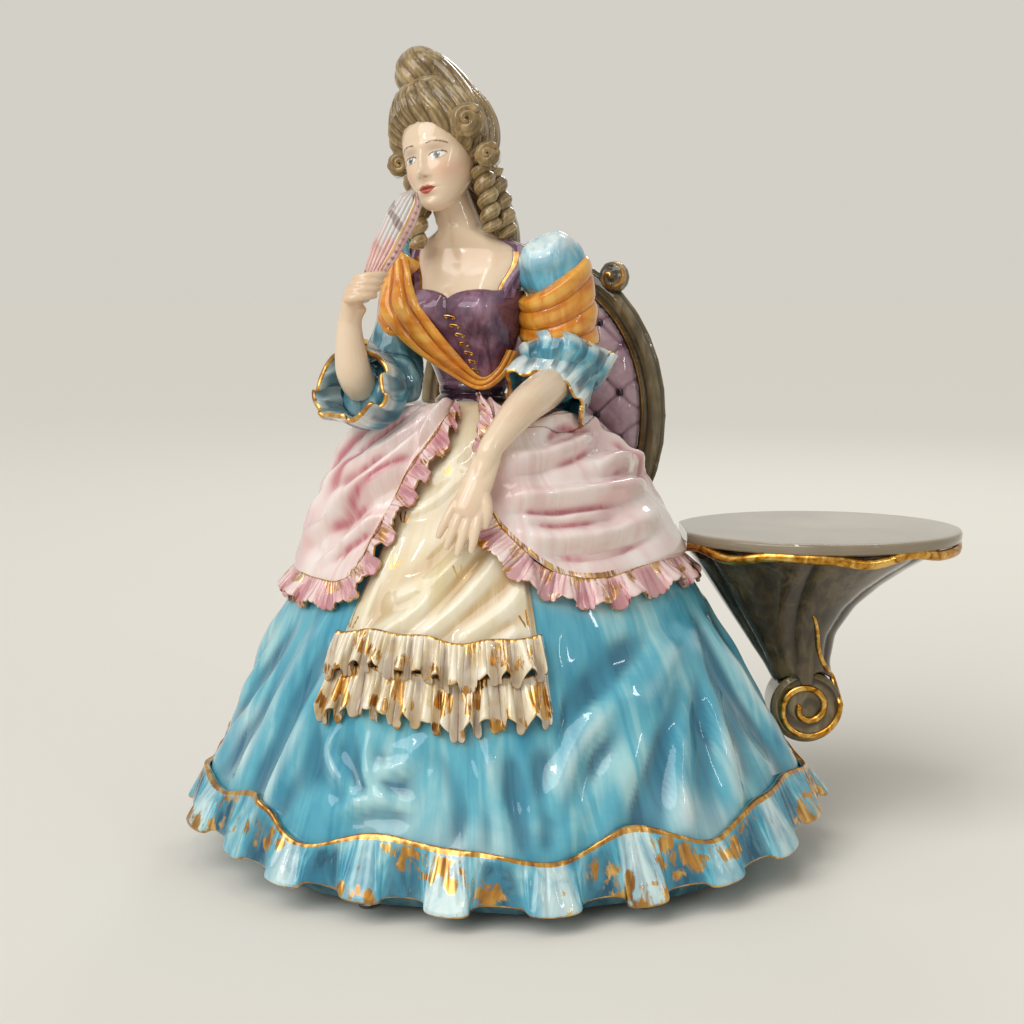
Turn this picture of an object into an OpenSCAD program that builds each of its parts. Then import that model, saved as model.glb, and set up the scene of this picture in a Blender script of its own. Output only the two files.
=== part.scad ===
// Seated lady figurine of glazed earthenware. The hollow skirt, the base, the cloth layers, the torso, head,
// arms, hair, chair back and console are formed separately and stuck together with slip before firing.
// Millimetres, +Z up, front towards -Y. The origin is on the standing surface, under the middle of the box.

/* [Stand] */
// Diameter of a clear foot pad
foot_d = 8; // [6:0.5:12]
// Height of a foot pad
foot_h = 5; // [3:0.5:7]
// Distance between the left and right foot pads
foot_span_x = 128; // [100:1:140]
// Distance between the front and back foot pads
foot_span_y = 156; // [130:1:166]
// Thickness of the base that closes the skirt
base_t = 6; // [4:0.5:9]
// Diameter of the vent hole in the base
vent_d = 20; // [10:1:40]

/* [Skirt] */
// Height of the skirt from hem to waist
skirt_h = 217; // [205:1:235]
// Half of the hem's width
hem_side = 154; // [146:1:164]
// Reach of the hem in front of the skirt's axis
hem_front = 116; // [110:1:124]
// Reach of the hem behind the skirt's axis
hem_back = 112; // [104:1:122]
// Radius of the skirt's neck at the waist
waist_r = 15; // [13:0.5:18]
// Wall of the hollow skirt
skirt_wall = 6; // [4:0.5:8]
// Rise of the hem from the front to the back
hem_lift = 36; // [20:1:44]
// Depth of the skirt's folds at the hem
fold_depth = 3; // [0:0.5:4]
// Number of folds round the skirt
fold_count = 9; // [6:1:12]

/* [Hem flounce] */
// Height of the flounce
flounce_h = 27; // [18:1:34]
// Thickness of the flounce
flounce_t = 3; // [2:0.5:5]
// How far the flounce's waves stand out at the hem
flounce_wave = 6; // [2:0.5:7]
// Number of waves round the flounce
flounce_waves = 21; // [15:1:24]

/* [Apron and frills] */
// Length of the apron below the waist, measured down
apron_drop = 112; // [100:1:125]
// Thickness of the apron
apron_t = 3; // [2:0.5:5]
// Width of an apron frill, measured down
apron_frill_w = 20; // [16:1:24]
// Thickness of a frill
frill_t = 2.5; // [2:0.5:4]
// How far a frill's waves stand out
frill_wave = 5; // [2:0.5:6]

/* [Overskirt] */
// Length of the overskirt below the waist, measured down
over_drop = 82; // [74:1:90]
// Thickness of the overskirt
over_t = 3.5; // [2.5:0.5:5]
// Fullness of the overskirt over its thickness
over_puff = 9; // [4:0.5:12]
// Depth of the overskirt's drawn folds
swag_depth = 1.6; // [0:0.2:2.4]
// Width of the overskirt's frill, measured down
over_frill_w = 15; // [11:1:19]

/* [Torso] */
// Height from the waist to the neck's foot
torso_h = 82; // [76:1:90]
// Width of the bust
bust_w = 54; // [48:1:60]
// Depth of the bust
bust_d = 43; // [38:1:48]
// Width across the shoulders, without sleeves
shoulder_w = 62; // [56:1:68]
// Diameter of the neck
neck_d = 21; // [18:0.5:24]
// Height of the waist band
band_h = 15; // [11:0.5:18]
// Thickness of the waist band
band_t = 3; // [2:0.25:4]
// Turn of the torso to the viewer's left
torso_turn = 20; // [10:1:30]

/* [Head and hair] */
// Height of the head from chin to crown
head_h = 52; // [48:1:58]
// Width of the head
head_w = 38; // [34:1:42]
// Depth of the head from face to nape
head_d = 45; // [40:1:50]
// Turn of the face to the viewer's left
head_turn = 38; // [20:1:50]
// Tilt of the head towards the fan
head_tilt = 11; // [0:1:14]
// Thickness of the swept-up hair over the skull
hair_t = 8; // [6:0.5:11]
// Diameter of the topknot
topknot_d = 27; // [22:1:32]
// Diameter of a ringlet
ringlet_d = 11; // [7:0.5:13]
// Diameter of a rolled side curl
curl_d = 16; // [10:0.5:18]

/* [Arms and shawl] */
// Diameter of a sleeve
sleeve_d = 29; // [25:0.5:32]
// Diameter of a forearm below the cuff
forearm_d = 20; // [15:0.5:22]
// Diameter of a wrist
wrist_d = 12; // [8.5:0.5:13]
// Flare of a cuff over the sleeve's radius
cuff_flare = 12; // [8:0.5:14]
// Thickness of a cuff's wall
cuff_t = 3; // [2:0.5:4]
// Thickness of the shawl wrapped round the upper arm
shawl_t = 6; // [4:0.5:8]
// Width of the shawl across the front
shawl_w = 26; // [20:1:30]

/* [Fan] */
// Length of the closed fan
fan_l = 64; // [60:1:68]
// Width of the fan at half its length
fan_w = 15; // [12:0.5:18]
// Thickness of the closed fan
fan_t = 6; // [4:0.5:8]

/* [Chair] */
// Width of the chair back
back_w = 144; // [132:1:152]
// Top of the chair back above the waist
back_rise = 76; // [66:1:84]
// Thickness of the frame's rail
rail_d = 14; // [11:0.5:16]
// Diameter of a scroll at the shoulder of the back
scroll_ball_d = 17; // [13:0.5:20]
// Thickness of the back pad at its crown
pad_t = 12; // [9:0.5:15]
// Distance between the pad's tufts
tuft_step = 24; // [19:1:30]
// Turn of the chair to the viewer's left
chair_turn = 24; // [14:1:32]

/* [Console] */
// Width of the console's top
top_w = 148; // [136:1:158]
// Depth of the console's top
top_d = 122; // [110:1:132]
// Thickness of the console's top
top_t = 6; // [4:0.5:9]
// Height of the console's top face above the standing surface
top_z = 161; // [154:1:168]
// Diameter of the gilt bead under the top's edge
bead_d = 6; // [4:0.5:8]
// Diameter of the scroll at the foot of the bracket
volute_d = 37; // [32:1:42]
// Width of the scroll from front to back
volute_w = 26; // [20:1:32]

/* [Hidden] */

// Slip line left between two pieces that are stuck together, and under cloth that lies on the skirt
gap = 0.3;
lay_gap = 0.9;
// Shift of the foot pads towards the front
foot_y = -9;
// Place of the waist against the skirt's axis
waist_x = -16;
waist_y = 4;
// Height of the hem's lowest edge above the pads' top
hem_rise = 4;
hem_z = foot_h + hem_rise;
waist_z = hem_z + skirt_h;
waist = [waist_x, waist_y, waist_z];
// Curve of the skirt's bell: from the side, over the lap and behind
bell_power = 1.75;
lap_power = 0.8;
rear_power = 0.9;
$fn = 48;

function unit(v) = v / norm(v);
function mix(a, b, s) = a + (b - a) * s;
function clamp(s) = min(1, max(0, s));
function ease(s) = clamp(s) * clamp(s) * (3 - 2 * clamp(s));
function turn_z(p, a) = [p[0] * cos(a) - p[1] * sin(a), p[0] * sin(a) + p[1] * cos(a), p[2]];

// Point at share s along a smooth curve through the points p
function curve(p, s) =
    let (n = len(p) - 1,
        x = clamp(s) * n,
        i = min(n - 1, floor(x)),
        t = x - i,
        p0 = p[max(0, i - 1)],
        p1 = p[i],
        p2 = p[i + 1],
        p3 = p[min(n, i + 2)])
    0.5 * (2 * p1 + (p2 - p0) * t + (2 * p0 - 5 * p1 + 4 * p2 - p3) * t * t
        + (3 * p1 - p0 - 3 * p2 + p3) * t * t * t);

// Faces of the wall over equal closed rings of n points
function wall_faces(rows, n) =
    [for (i = [0 : rows - 2], j = [0 : n - 1])
        let (a = i * n + j, b = i * n + (j + 1) % n)
        each [[a, a + n, b + n], [a, b + n, b]]];

// Solid over a stack of closed rings, closed at both ends towards a middle point
module skin(rings) {
    n = len(rings[0]);
    rows = len(rings);
    first = rings[0];
    last = rings[rows - 1];
    points = concat([for (r = rings) each r], [mean(first), mean(last)]);
    lids = [for (j = [0 : n - 1])
        let (k = (j + 1) % n, top = (rows - 1) * n)
        each [[rows * n, j, k], [rows * n + 1, top + k, top + j]]];
    polyhedron(points, concat(wall_faces(rows, n), lids));
}

function mean(ring) = [for (k = [0 : 2]) sum([for (p = ring) p[k]]) / len(ring)];
function sum(v) = v * [for (x = v) 1];

// Solid round a closed loop of equal rings
module hoop(rings) {
    n = len(rings[0]);
    rows = len(rings);
    faces = [for (i = [0 : rows - 1], j = [0 : n - 1])
        let (a = i * n, b = ((i + 1) % rows) * n, k = (j + 1) % n)
        each [[a + j, b + j, b + k], [a + j, b + k, a + k]]];
    polyhedron([for (r = rings) each r], faces);
}

// Hollow solid between outer rings and inner rings, open at both ends
module shell(outer, inner) {
    hoop_rings = [for (j = [0 : len(outer[0]) - 1])
        concat([for (i = [0 : len(outer) - 1]) outer[i][j]],
            [for (i = [len(inner) - 1 : -1 : 0]) inner[i][j]])];
    hoop([for (j = [len(hoop_rings) - 1 : -1 : 0]) hoop_rings[j]]);
}

// Rings of a tube along a smooth curve through points [x, y, z, radius], flattened by flat across its width
function tube_rings(p, rows, n, flat = 1, ref = [0, 0, 1]) =
    [for (i = [0 : rows])
        let (c = curve(p, i / rows),
            ahead = curve(p, (i + 0.5) / rows),
            behind = curve(p, (i - 0.5) / rows),
            along = unit([for (k = [0 : 2]) ahead[k] - behind[k]]),
            side = unit(cross(ref, along)),
            up = cross(along, side))
        [for (j = [0 : n - 1])
            let (a = 360 * j / n)
            [c[0], c[1], c[2]] + c[3] * (cos(a) * side + flat * sin(a) * up)]];

module tube(p, rows, n = 12, flat = 1, ref = [0, 0, 1]) skin(tube_rings(p, rows, n, flat, ref));

// Egg-shaped solid with radii r about c, turned by a about its upright
module egg(c, r, n = 16, rows = 9, a = 0)
    skin([for (i = [0 : rows])
        let (t = mix(-82, 82, i / rows))
        [for (j = [0 : n - 1])
            let (b = 360 * j / n)
            c + turn_z([r[0] * cos(t) * cos(b), r[1] * cos(t) * sin(b), r[2] * sin(t)], a)]]);

// Trims one soft-edged blank by its neighbours as a single mesh
module trimmed() resize([0, 0, 0]) difference() {
    children(0);
    children([1 : $children - 1]);
}

// Skirt surface: a is the angle round the axis, u the share of the way out from waist to hem
function out(drop) = pow(clamp(drop / skirt_h), 1 / bell_power);
function folds(a) = 0.65 * cos(fold_count * (a + 8)) + 0.35 * cos((fold_count + 4) * (a - 25));
function skirt_pt(a, u) =
    let (reach = sin(a) < 0 ? hem_front : hem_back,
        power = sin(a) < 0 ? lap_power : rear_power,
        fold = fold_depth * u * u * u * folds(a),
        rx = mix(waist_r, hem_side, u) + fold,
        ry = mix(waist_r, reach, pow(max(u, 0), power)) + fold,
        lift = hem_lift * (1 + sin(a)) / 2 * u * u * u)
    [waist_x * (1 - u) + rx * cos(a), waist_y * (1 - u) + ry * sin(a),
        hem_z + skirt_h * (1 - pow(max(u, 0), bell_power)) + lift];
function skirt_out(a, u) =
    let (du = min(0.02, u))
    unit(cross(skirt_pt(a + 1, u) - skirt_pt(a - 1, u), skirt_pt(a, u - du) - skirt_pt(a, u + 0.02)));
function on_skirt(a, u, d) = skirt_pt(a, u) + d * skirt_out(a, u);
skirt_n = 45;
skirt_angles = [for (j = [0 : skirt_n - 1]) 360 * j / skirt_n];

// Cloth lying on the surface lay. at(s, w) gives [angle, share], s along the cloth and w from its top to its
// low edge, and inner and outer give the distances of its two faces from that surface.
module layer(n, rows, at, inner, outer, lay = function(p, d) on_skirt(p[0], p[1], d)) {
    loops = [for (i = [0 : rows])
        let (w = 1 - i / rows)
        concat(
            [for (j = [0 : n]) let (p = at(j / n, w)) lay(p, outer(j / n, w, p))],
            [for (j = [n : -1 : 0]) let (p = at(j / n, w)) lay(p, inner(j / n, w, p))])];
    m = 2 * (n + 1);
    lids = [for (j = [0 : n - 1])
        let (a = m - 1 - j, top = rows * m)
        each [[j, j + 1, a - 1], [j, a - 1, a],
            [top + j, top + a - 1, top + j + 1], [top + j, top + a, top + a - 1]]];
    polyhedron([for (r = loops) each r], concat(wall_faces(rows + 1, m), lids));
}

// Apron: its two side edges in degrees, and its thickness felt by what lies over it
apron_top_drop = 0.35;
apron_u0 = out(apron_top_drop);
apron_u1 = out(apron_drop);
apron_left_a = 248;
apron_spread = 28;
function apron_left(u) = apron_left_a - apron_spread * u;
apron_right_a = 281;
// Run over which other cloth climbs onto the apron, in degrees and as a share of the way out
climb_a = 3;
climb_u = 0.03;
function apron_under(a, u) =
    (apron_t + 2 * gap) * ease((a - apron_left(u)) / climb_a + 1) * ease((apron_right_a - a) / climb_a + 1)
        * ease((u - apron_u0) / climb_u + 1);
apron_frill_from = 228;
apron_frill_to = 282;
apron_frill_lap = 12;
// Number of waves along each frill, with four points to a wave
apron_frill_waves = 9;
right_frill_waves = 13;
left_frill_waves = 14;
wave_n = 4;

// Edges of the overskirt's two halves as [angle, drop below the waist]; right is the lady's right
over_top_drop = 0.35;
right_edge = [[91, over_drop], [140, over_drop], [180, over_drop], [211, over_drop], [225, over_drop * 0.95],
    [231, over_drop * 0.69], [238, over_drop * 0.38], [248, over_drop * 0.12]];
left_edge = [[281, over_drop * 0.12], [276, over_drop * 0.28], [272, over_drop * 0.52], [278, over_drop * 0.71],
    [289, over_drop * 0.87], [303, over_drop * 0.93], [327, over_drop * 0.9], [360, over_drop * 0.95],
    [400, over_drop], [449, over_drop]];
right_top = [for (p = right_edge) [min(p[0], 246), over_top_drop]];
left_top = [for (i = [0 : len(left_edge) - 1]) [max(left_edge[i][0], 282 + 1.2 * i), over_top_drop]];
// Free edge of a frill, square to the overskirt's edge, with the length of a degree there in millimetres
edge_degree = 1.1;
far_degree = 1.6;
function frill_edge(edge) =
    [for (i = [0 : len(edge) - 1])
        let (a = edge[max(0, i - 1)],
            b = edge[min(len(edge) - 1, i + 1)],
            run = [(b[0] - a[0]) * edge_degree, b[1] - a[1]],
            away = unit([-run[1], run[0]]) * over_frill_w)
        [edge[i][0] + away[0] / far_degree, edge[i][1] + away[1]]];
over_u0 = out(over_top_drop);
over_u1 = out(over_drop);
function over_out(a, u) =
    let (w = clamp((u - over_u0) / (over_u1 - over_u0)))
    over_t + over_puff * pow(sin(180 * w), 0.8) + swag_depth * sin(180 * w) * cos(360 * 2 * w + 4 * a);

// Torso rings: height share, shift forward, half width and half depth
torso_rows = [[0, 0, waist_r - 1, waist_r - 1.5], [0.16, 0, waist_r + 1, waist_r - 1],
    [0.42, 3, bust_w * 0.44, bust_d * 0.46], [0.58, 4, bust_w / 2, bust_d / 2],
    [0.7, 2, bust_w * 0.52, bust_d * 0.44], [0.84, -1, shoulder_w / 2, bust_d * 0.36],
    [0.94, -2, shoulder_w * 0.44, bust_d * 0.31], [1, -1, neck_d * 0.66, neck_d * 0.62]];
// Height share at which the bodice ends and the bare chest begins
bodice_share = 0.68;
// Sideways lean of the torso over its height
lean_x = -4;
// Share along the rows at which the height share h is reached
function torso_at(h, i = 0) =
    i >= len(torso_rows) - 2 || h <= torso_rows[i + 1][0]
        ? (i + (h - torso_rows[i][0]) / (torso_rows[i + 1][0] - torso_rows[i][0])) / (len(torso_rows) - 1)
        : torso_at(h, i + 1);
function torso_pt(h, side, front) =
    waist + [lean_x * h, 0, h * torso_h] + turn_z([side, -front, 0], -torso_turn);
function on_torso(b, h, d) =
    let (r = curve(torso_rows, torso_at(h)))
    torso_pt(h, (r[2] + d) * cos(b), r[1] - (r[3] + d) * sin(b));
function torso_ring(h, grow) = [for (j = [0 : 19]) on_torso(18 * j, h, grow)];
bodice_levels = [for (i = [0 : 6]) mix(gap / torso_h, bodice_share, i / 6)];
chest_levels = [for (i = [0 : 5]) mix(bodice_share + gap / torso_h, 1, i / 5)];
module torso_blank(grow) skin([for (h = concat([-0.02], bodice_levels, chest_levels)) torso_ring(h, grow)]);

// Pegs that carry the torso on the skirt and the head on the chest
peg_l = 8;
// Shoulder strap: its width in degrees round the torso and its thickness
strap_w = 18;
strap_t = 2.5;
waist_peg_d = waist_r;
neck_peg_d = neck_d * 0.5;

// Head: its own frame faces -Y, with x towards the lady's left
neck_foot = torso_pt(1, 0, 1);
neck_l = 14;
// Share by which the neck widens at its foot
neck_spread = 0.12;
head_c = neck_foot + [-10, -5, neck_l + head_h * 0.42];
module on_head() translate(head_c) rotate([0, 0, -head_turn]) rotate([0, -head_tilt, 0]) children();
// Head rings: height, half width, front and back as shares of the head's sizes, and how far the nose stands out
head_rows = [[-0.46, 0.13, -0.37, -0.12, 0], [-0.4, 0.25, -0.43, 0.02, 0], [-0.28, 0.36, -0.46, 0.2, 0.3],
    [-0.12, 0.43, -0.47, 0.36, 3.4], [0.06, 0.48, -0.46, 0.47, 0.8], [0.24, 0.48, -0.45, 0.5, 0],
    [0.38, 0.4, -0.37, 0.43, 0], [0.47, 0.24, -0.2, 0.28, 0]];
module head_blank(grow) {
    on_head() skin([for (q = head_rows)
        [for (j = [0 : 15])
            let (b = 22.5 * j, nose = j == 12 ? q[4] : 0)
            [(q[1] * head_w + grow) * cos(b),
                (q[2] + q[3]) / 2 * head_d + ((q[3] - q[2]) / 2 * head_d + grow + nose) * sin(b),
                q[0] * head_h + grow * sign(q[0])]]]);
    neck_blank(grow, neck_foot[2] + gap - grow);
}
// Neck from the height z up into the head, with level rings
module neck_blank(grow, z)
    skin([for (k = [0, 0.3, 0.65, 1])
        let (c = mix([neck_foot[0], neck_foot[1], z], head_c - [0, 0, head_h * 0.2], k),
            r = neck_d / 2 * (1 + neck_spread * pow(1 - k, 3)) + grow)
        [for (j = [0 : 13]) c + r * [cos(360 * j / 14), sin(360 * j / 14), 0]]]);
module hair_blank(grow) on_head() difference() {
    egg([0, 4, head_h * 0.24], [head_w / 2 + hair_t * 0.8 + grow, head_d / 2 + hair_t * 0.6 + grow,
        head_h * 0.36 + hair_t + grow], 16, 8);
    // The face stays bare below the hairline and in front of the ears
    translate([-head_w, -head_d - 4 - grow, -head_h]) cube([2 * head_w, head_d, head_h * 1.27 - grow]);
}

// Arms as points [x, y, z, radius] from the shoulder down
sleeve_r = sleeve_d / 2;
// How far each arm sits inside the shoulder's edge
arm_in_l = 3;
arm_in_r = 13;
shoulder_l = torso_pt(0.9, shoulder_w / 2 + sleeve_r - arm_in_l, 0);
shoulder_r = torso_pt(0.84, -shoulder_w / 2 - sleeve_r + arm_in_r, 4);
elbow_l = waist + [46, -8, 25];
end_l = elbow_l + [-7, -16, -14];
elbow_r = waist + [-40, -15, 10];
arm_l = [concat(shoulder_l + [-4, 0, 7], [sleeve_r * 0.55]), concat(shoulder_l + [0, 0, -2], [sleeve_r]),
    concat(mix(shoulder_l, elbow_l, 0.5) + [3, 2, 0], [sleeve_r * 0.95]), concat(elbow_l, [sleeve_r * 0.9]),
    concat(end_l, [sleeve_r * 0.8])];
arm_r = [concat(shoulder_r + [5, 0, 7], [sleeve_r * 0.5]), concat(shoulder_r, [sleeve_r * 0.75]),
    concat(mix(shoulder_r, elbow_r, 0.6) + [-4, 4, -4], [sleeve_r]), concat(elbow_r, [sleeve_r * 1.1]),
    concat(elbow_r + [-13, -19, -1], [sleeve_r * 0.85])];
function part_of(p, from, to, n, grow) =
    [for (i = [0 : n]) curve(p, mix(from, to, i / n)) + [0, 0, 0, grow]];
cuff_end_l = curve(arm_l, 1);
cuff_end_r = curve(arm_r, 1);
function spot(p) = [p[0], p[1], p[2]];
// How far a cuff hangs past the end of its sleeve, where it starts along each arm, and its waves
cuff_reach = 9;
cuff_from_l = 0.77;
cuff_from_r = 0.88;
cuff_waves_l = 8;
cuff_waves_r = 7;
// Flare of the right cuff against the left one's
cuff_right_share = 0.55;

// Forearms and hands; the left hand rests on the apron, the right one holds the fan
wrist_off = lay_gap + apron_t + over_t + over_puff + wrist_d * 0.6;
palm_off = lay_gap + apron_t + frill_t + frill_wave + wrist_d * 0.45;
// Where the left wrist and palm lie on the gown, as the angle and the drop below the waist
wrist_a = 274;
wrist_drop = 27;
palm_a = 266;
palm_drop = 46;
wrist_l = on_skirt(wrist_a, out(wrist_drop), wrist_off);
palm_l = on_skirt(palm_a, out(palm_drop), palm_off);
wrist_r = spot(cuff_end_r) + [-4, -11, 32];
palm_r = wrist_r + [5, -2, 14];
finger_d = wrist_d * 0.55;
fan_foot = palm_r + [4, -2, 3];
fan_aim = head_c + [-head_w * 0.3, -head_d * 0.5, -head_h * 0.25];
fan_dir = unit(fan_aim - fan_foot);
// Length of the fan held inside the hand
fan_butt = 8;

// Chair back, standing on the overskirt behind the torso
chair_reach = 74;
chair_c = [waist_x, waist_y, 0] + turn_z([4, chair_reach, 0], -chair_turn);
rail_r = rail_d / 2;
back_rx = back_w / 2 - rail_r;
back_top = waist_z + back_rise;
back_low = waist_z - over_drop * 0.8;
back_rz = (back_top - rail_r - back_low) * 0.58;
back_cz = back_top - rail_r - back_rz;
module on_chair() translate(chair_c) rotate([0, 0, -chair_turn]) children();
module rail_blank(grow) on_chair() hoop([for (i = [0 : 35])
    let (b = 10 * i, c = [back_rx * cos(b), 0, back_cz + back_rz * sin(b)], away = [cos(b), 0, sin(b)])
    [for (j = [0 : 7]) c + (rail_r + grow) * (cos(45 * j) * away + sin(45 * j) * [0, 0.8, 0])]]);
// What the chair back stands on: the overskirt with its slip line, down to the cut at the pad's foot
module seat_blank() skin([for (u = [out(over_drop * 1.3), for (i = [0 : 11]) mix(over_u1, over_u0, i / 11)])
    [for (j = [0 : 59]) on_skirt(6 * j, u, over_out(6 * j, u) + apron_under(6 * j, u) + lay_gap + 2 * gap)]]);
module below_back() translate([-back_w, -back_w, 0]) cube([3 * back_w, 3 * back_w, back_low]);

// Console, stuck to the overskirt's frill by its top and to the skirt by its scroll
// Farthest reach to the side, between two heights, of what lies on the skirt with the thickness t
function reach_x(low, high, t) =
    max([for (a = [330 : 3 : 390], u = [0.4 : 0.02 : 0.7])
        let (p = on_skirt(a, u, t))
        if (p[2] > low && p[2] < high) p[0]]);
console_seat = reach_x(top_z - top_t - 2, top_z + 2, lay_gap + over_t + swag_depth + gap);
// The top's end is cut to a flat where it meets the overskirt
seat_cut = 5;
console_x = console_seat + top_w / 2 - seat_cut;
console_y = 26;
volute_r = volute_d / 2;
bracket_top = top_z - top_t - gap;
// How much the bead swells and thins along its waves
bead_wave = 0.3;
// How far the bracket swings towards the skirt at half its height, and the curve of its flare
bracket_sway = 11;
flare_power = 1.9;
flare_full = 1.06;
// What stands beside the console: the skirt, and higher up the overskirt with its frill
over_frill_u = out(over_drop + over_frill_w);
function beside_t(a, u) =
    gap + (u > over_frill_u ? 0 : lay_gap + max(over_out(a, u), frill_t + frill_wave));
module beside_blank() skin([for (u = [0.95, 0.85, 0.75, over_frill_u + 0.01, over_frill_u, 0.4, 0.25, over_u0])
    [for (j = [0 : 59]) on_skirt(6 * j, u, beside_t(6 * j, u))]]);
volute_seat = on_skirt(4, out(skirt_h - 42), gap);
volute_at = volute_seat + [volute_r + 0.6, 14, 4.5];

// Flounce over the skirt's hem: a is the angle and s the share of the way up
flounce_u = out(skirt_h - flounce_h);
flounce_low_u = 0.995;
function flounce_pt(a, s) =
    on_skirt(a, mix(flounce_low_u, flounce_u, s),
        lay_gap + flounce_t + flounce_wave * (1 - s) * (0.5 + 0.5 * cos(flounce_waves * a)));
flounce_n = flounce_waves * wave_n;
flounce_angles = [for (j = [0 : flounce_n - 1]) 360 * j / flounce_n];
flounce_x = [for (a = flounce_angles) flounce_pt(a, 0)[0]];
flounce_y = [for (a = flounce_angles) flounce_pt(a, 0)[1]];

// Place of the skirt's axis, which puts the middle of the whole box over the origin
axis_x = -(min(flounce_x) + console_x + top_w / 2) / 2;
axis_y = -(min(flounce_y) + max(flounce_y)) / 2;
module place() translate([axis_x, axis_y, 0]) children();

function oval(x, y, n = 48) = [for (i = [0 : n - 1]) [x * cos(360 * i / n), y * sin(360 * i / n)]];

module foot_pads() color("gainsboro", 0.6) place()
    for (x = [-1, 1], y = [-1, 1])
        translate([x * foot_span_x / 2, y * foot_span_y / 2 + foot_y, 0])
            rotate_extrude()
                polygon([[0, 0], [foot_d / 2 - 1, 0], [foot_d / 2, 1], [foot_d * 0.47, foot_h], [0, foot_h]]);

// Shallow dish that closes the skirt: flat where the pads sit, rising to the hem
module base() color("#1E5F73") place() {
    rim_u = 0.985;
    upper_u = 0.96;
    rim = [for (a = skirt_angles) on_skirt(a, rim_u, -skirt_wall - lay_gap)];
    upper = [for (a = skirt_angles) on_skirt(a, upper_u, -skirt_wall - lay_gap)];
    // The flat reaches less far at the sides, where the hem is higher
    flat = [for (j = [0 : skirt_n - 1])
        let (k = mix(0.84, 0.985, abs(sin(skirt_angles[j]))))
        [rim[j][0] * k, rim[j][1] * k, foot_h]];
    difference() {
        skin([flat, rim, upper, [for (p = flat) [p[0] * 0.98, p[1] * 0.98, foot_h + base_t]]]);
        translate([0, 0, foot_h - 1]) cylinder(d = vent_d, h = base_t + 2);
    }
}

module skirt() color("#5FB4C9") place() {
    shares = [1, 0.93, 0.81, 0.67, 0.53, 0.4, 0.28, 0.17, 0.07];
    inner_shares = [1, 0.93, 0.7, 0.4, 0.12];
    // Flat seat for the torso, with a socket for its peg
    seat = function(r, z) [for (a = skirt_angles) [waist_x, waist_y, z] + r * [cos(a), sin(a), 0]];
    socket_r = waist_peg_d / 2 + gap;
    low = waist_z - skirt_wall * 1.15;
    outer = [for (u = shares) [for (a = skirt_angles) on_skirt(a, u, 0)]];
    inner = [for (u = inner_shares) [for (a = skirt_angles) on_skirt(a, u, -skirt_wall)]];
    shell(concat(outer, [seat(waist_r, waist_z), seat(socket_r, waist_z)]),
        concat(inner, [seat(socket_r, low)]));
}

module hem_flounce() color("#3A9CBE") place()
    shell([for (s = [0, 1]) [for (a = flounce_angles) flounce_pt(a, s)]],
        [for (u = [flounce_low_u, flounce_u]) [for (a = flounce_angles) on_skirt(a, u, lay_gap)]]);

module apron() color("#EFE3C4") place()
    layer(12, 7,
        function(s, w) let (u = mix(apron_u0, apron_u1, w)) [mix(apron_left(u), apron_right_a, s), u],
        function(s, w, p) lay_gap,
        function(s, w, p) lay_gap + apron_t * (0.75 + 0.25 * sin(180 * s) * cos(540 * s + 200 * w)));

// What an apron frill lies on: the apron, and below its end the skirt
function frill_under(a, u) = lay_gap + apron_under(a, u) * (1 - ease((u - apron_u1) / climb_u));
module apron_frill(drop)
    layer(apron_frill_waves * wave_n, 2,
        function(s, w) [mix(apron_frill_from, apron_frill_to, s), mix(out(drop), out(drop + apron_frill_w), w)],
        function(s, w, p) frill_under(p[0], p[1]),
        function(s, w, p) frill_under(p[0], p[1]) + frill_t
            + frill_wave * w * (0.5 + 0.5 * cos(360 * apron_frill_waves * s)));

module apron_frill_upper() color("#EFE3C4") place() apron_frill(apron_drop - apron_frill_lap);
module apron_frill_lower() color("#C9A45A") place()
    apron_frill(apron_drop - apron_frill_lap + apron_frill_w + gap);

module overskirt(edge, top, n) {
    layer(n, 5,
        function(s, w)
            let (a = curve(top, s), b = curve(edge, s))
            [mix(a[0], b[0], w), mix(out(a[1]), out(b[1]), w)],
        function(s, w, p) lay_gap + apron_under(p[0], p[1]),
        function(s, w, p) lay_gap + apron_under(p[0], p[1])
            + over_out(p[0], p[1]) * mix(0.55, 1, ease(8 * min(s, 1 - s))));
}

module overskirt_right() color("#E9C9C4") place() overskirt(right_edge, right_top, 24);
module overskirt_left() color("#E9C9C4") place() overskirt(left_edge, left_top, 26);

module overskirt_frill(edge, waves) {
    far = frill_edge(edge);
    layer(waves * wave_n, 2,
        function(s, w)
            let (a = curve(edge, s), b = curve(far, s), k = mix(0.06, 1, w))
            [mix(a[0], b[0], k), mix(out(a[1]), out(b[1]), k)],
        function(s, w, p) lay_gap + apron_under(p[0], p[1]),
        function(s, w, p) lay_gap + apron_under(p[0], p[1]) + frill_t
            + frill_wave * mix(0.2, 1, w) * (0.5 + 0.5 * cos(360 * waves * s)));
}

module overskirt_frill_right() color("#D98C92") place() overskirt_frill(right_edge, right_frill_waves);
module overskirt_frill_left() color("#D98C92") place() overskirt_frill(left_edge, left_frill_waves);

module waist_band() color("#3A2233") place() {
    levels = [0.03, 0.3, 1];
    bulge = function(k) band_t * (0.75 + 0.25 * sin(180 * k) + 0.3 * pow(1 - k, 4));
    shell([for (k = levels) torso_ring(k * band_h / torso_h, gap + bulge(k))],
        [for (k = levels) torso_ring(k * band_h / torso_h, gap)]);
}

module bodice() color("#5E3A4E") place() {
    skin([for (h = bodice_levels) torso_ring(h, 0)]);
    translate(waist - [0, 0, peg_l]) cylinder(d = waist_peg_d, h = peg_l + 2);
}

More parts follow.
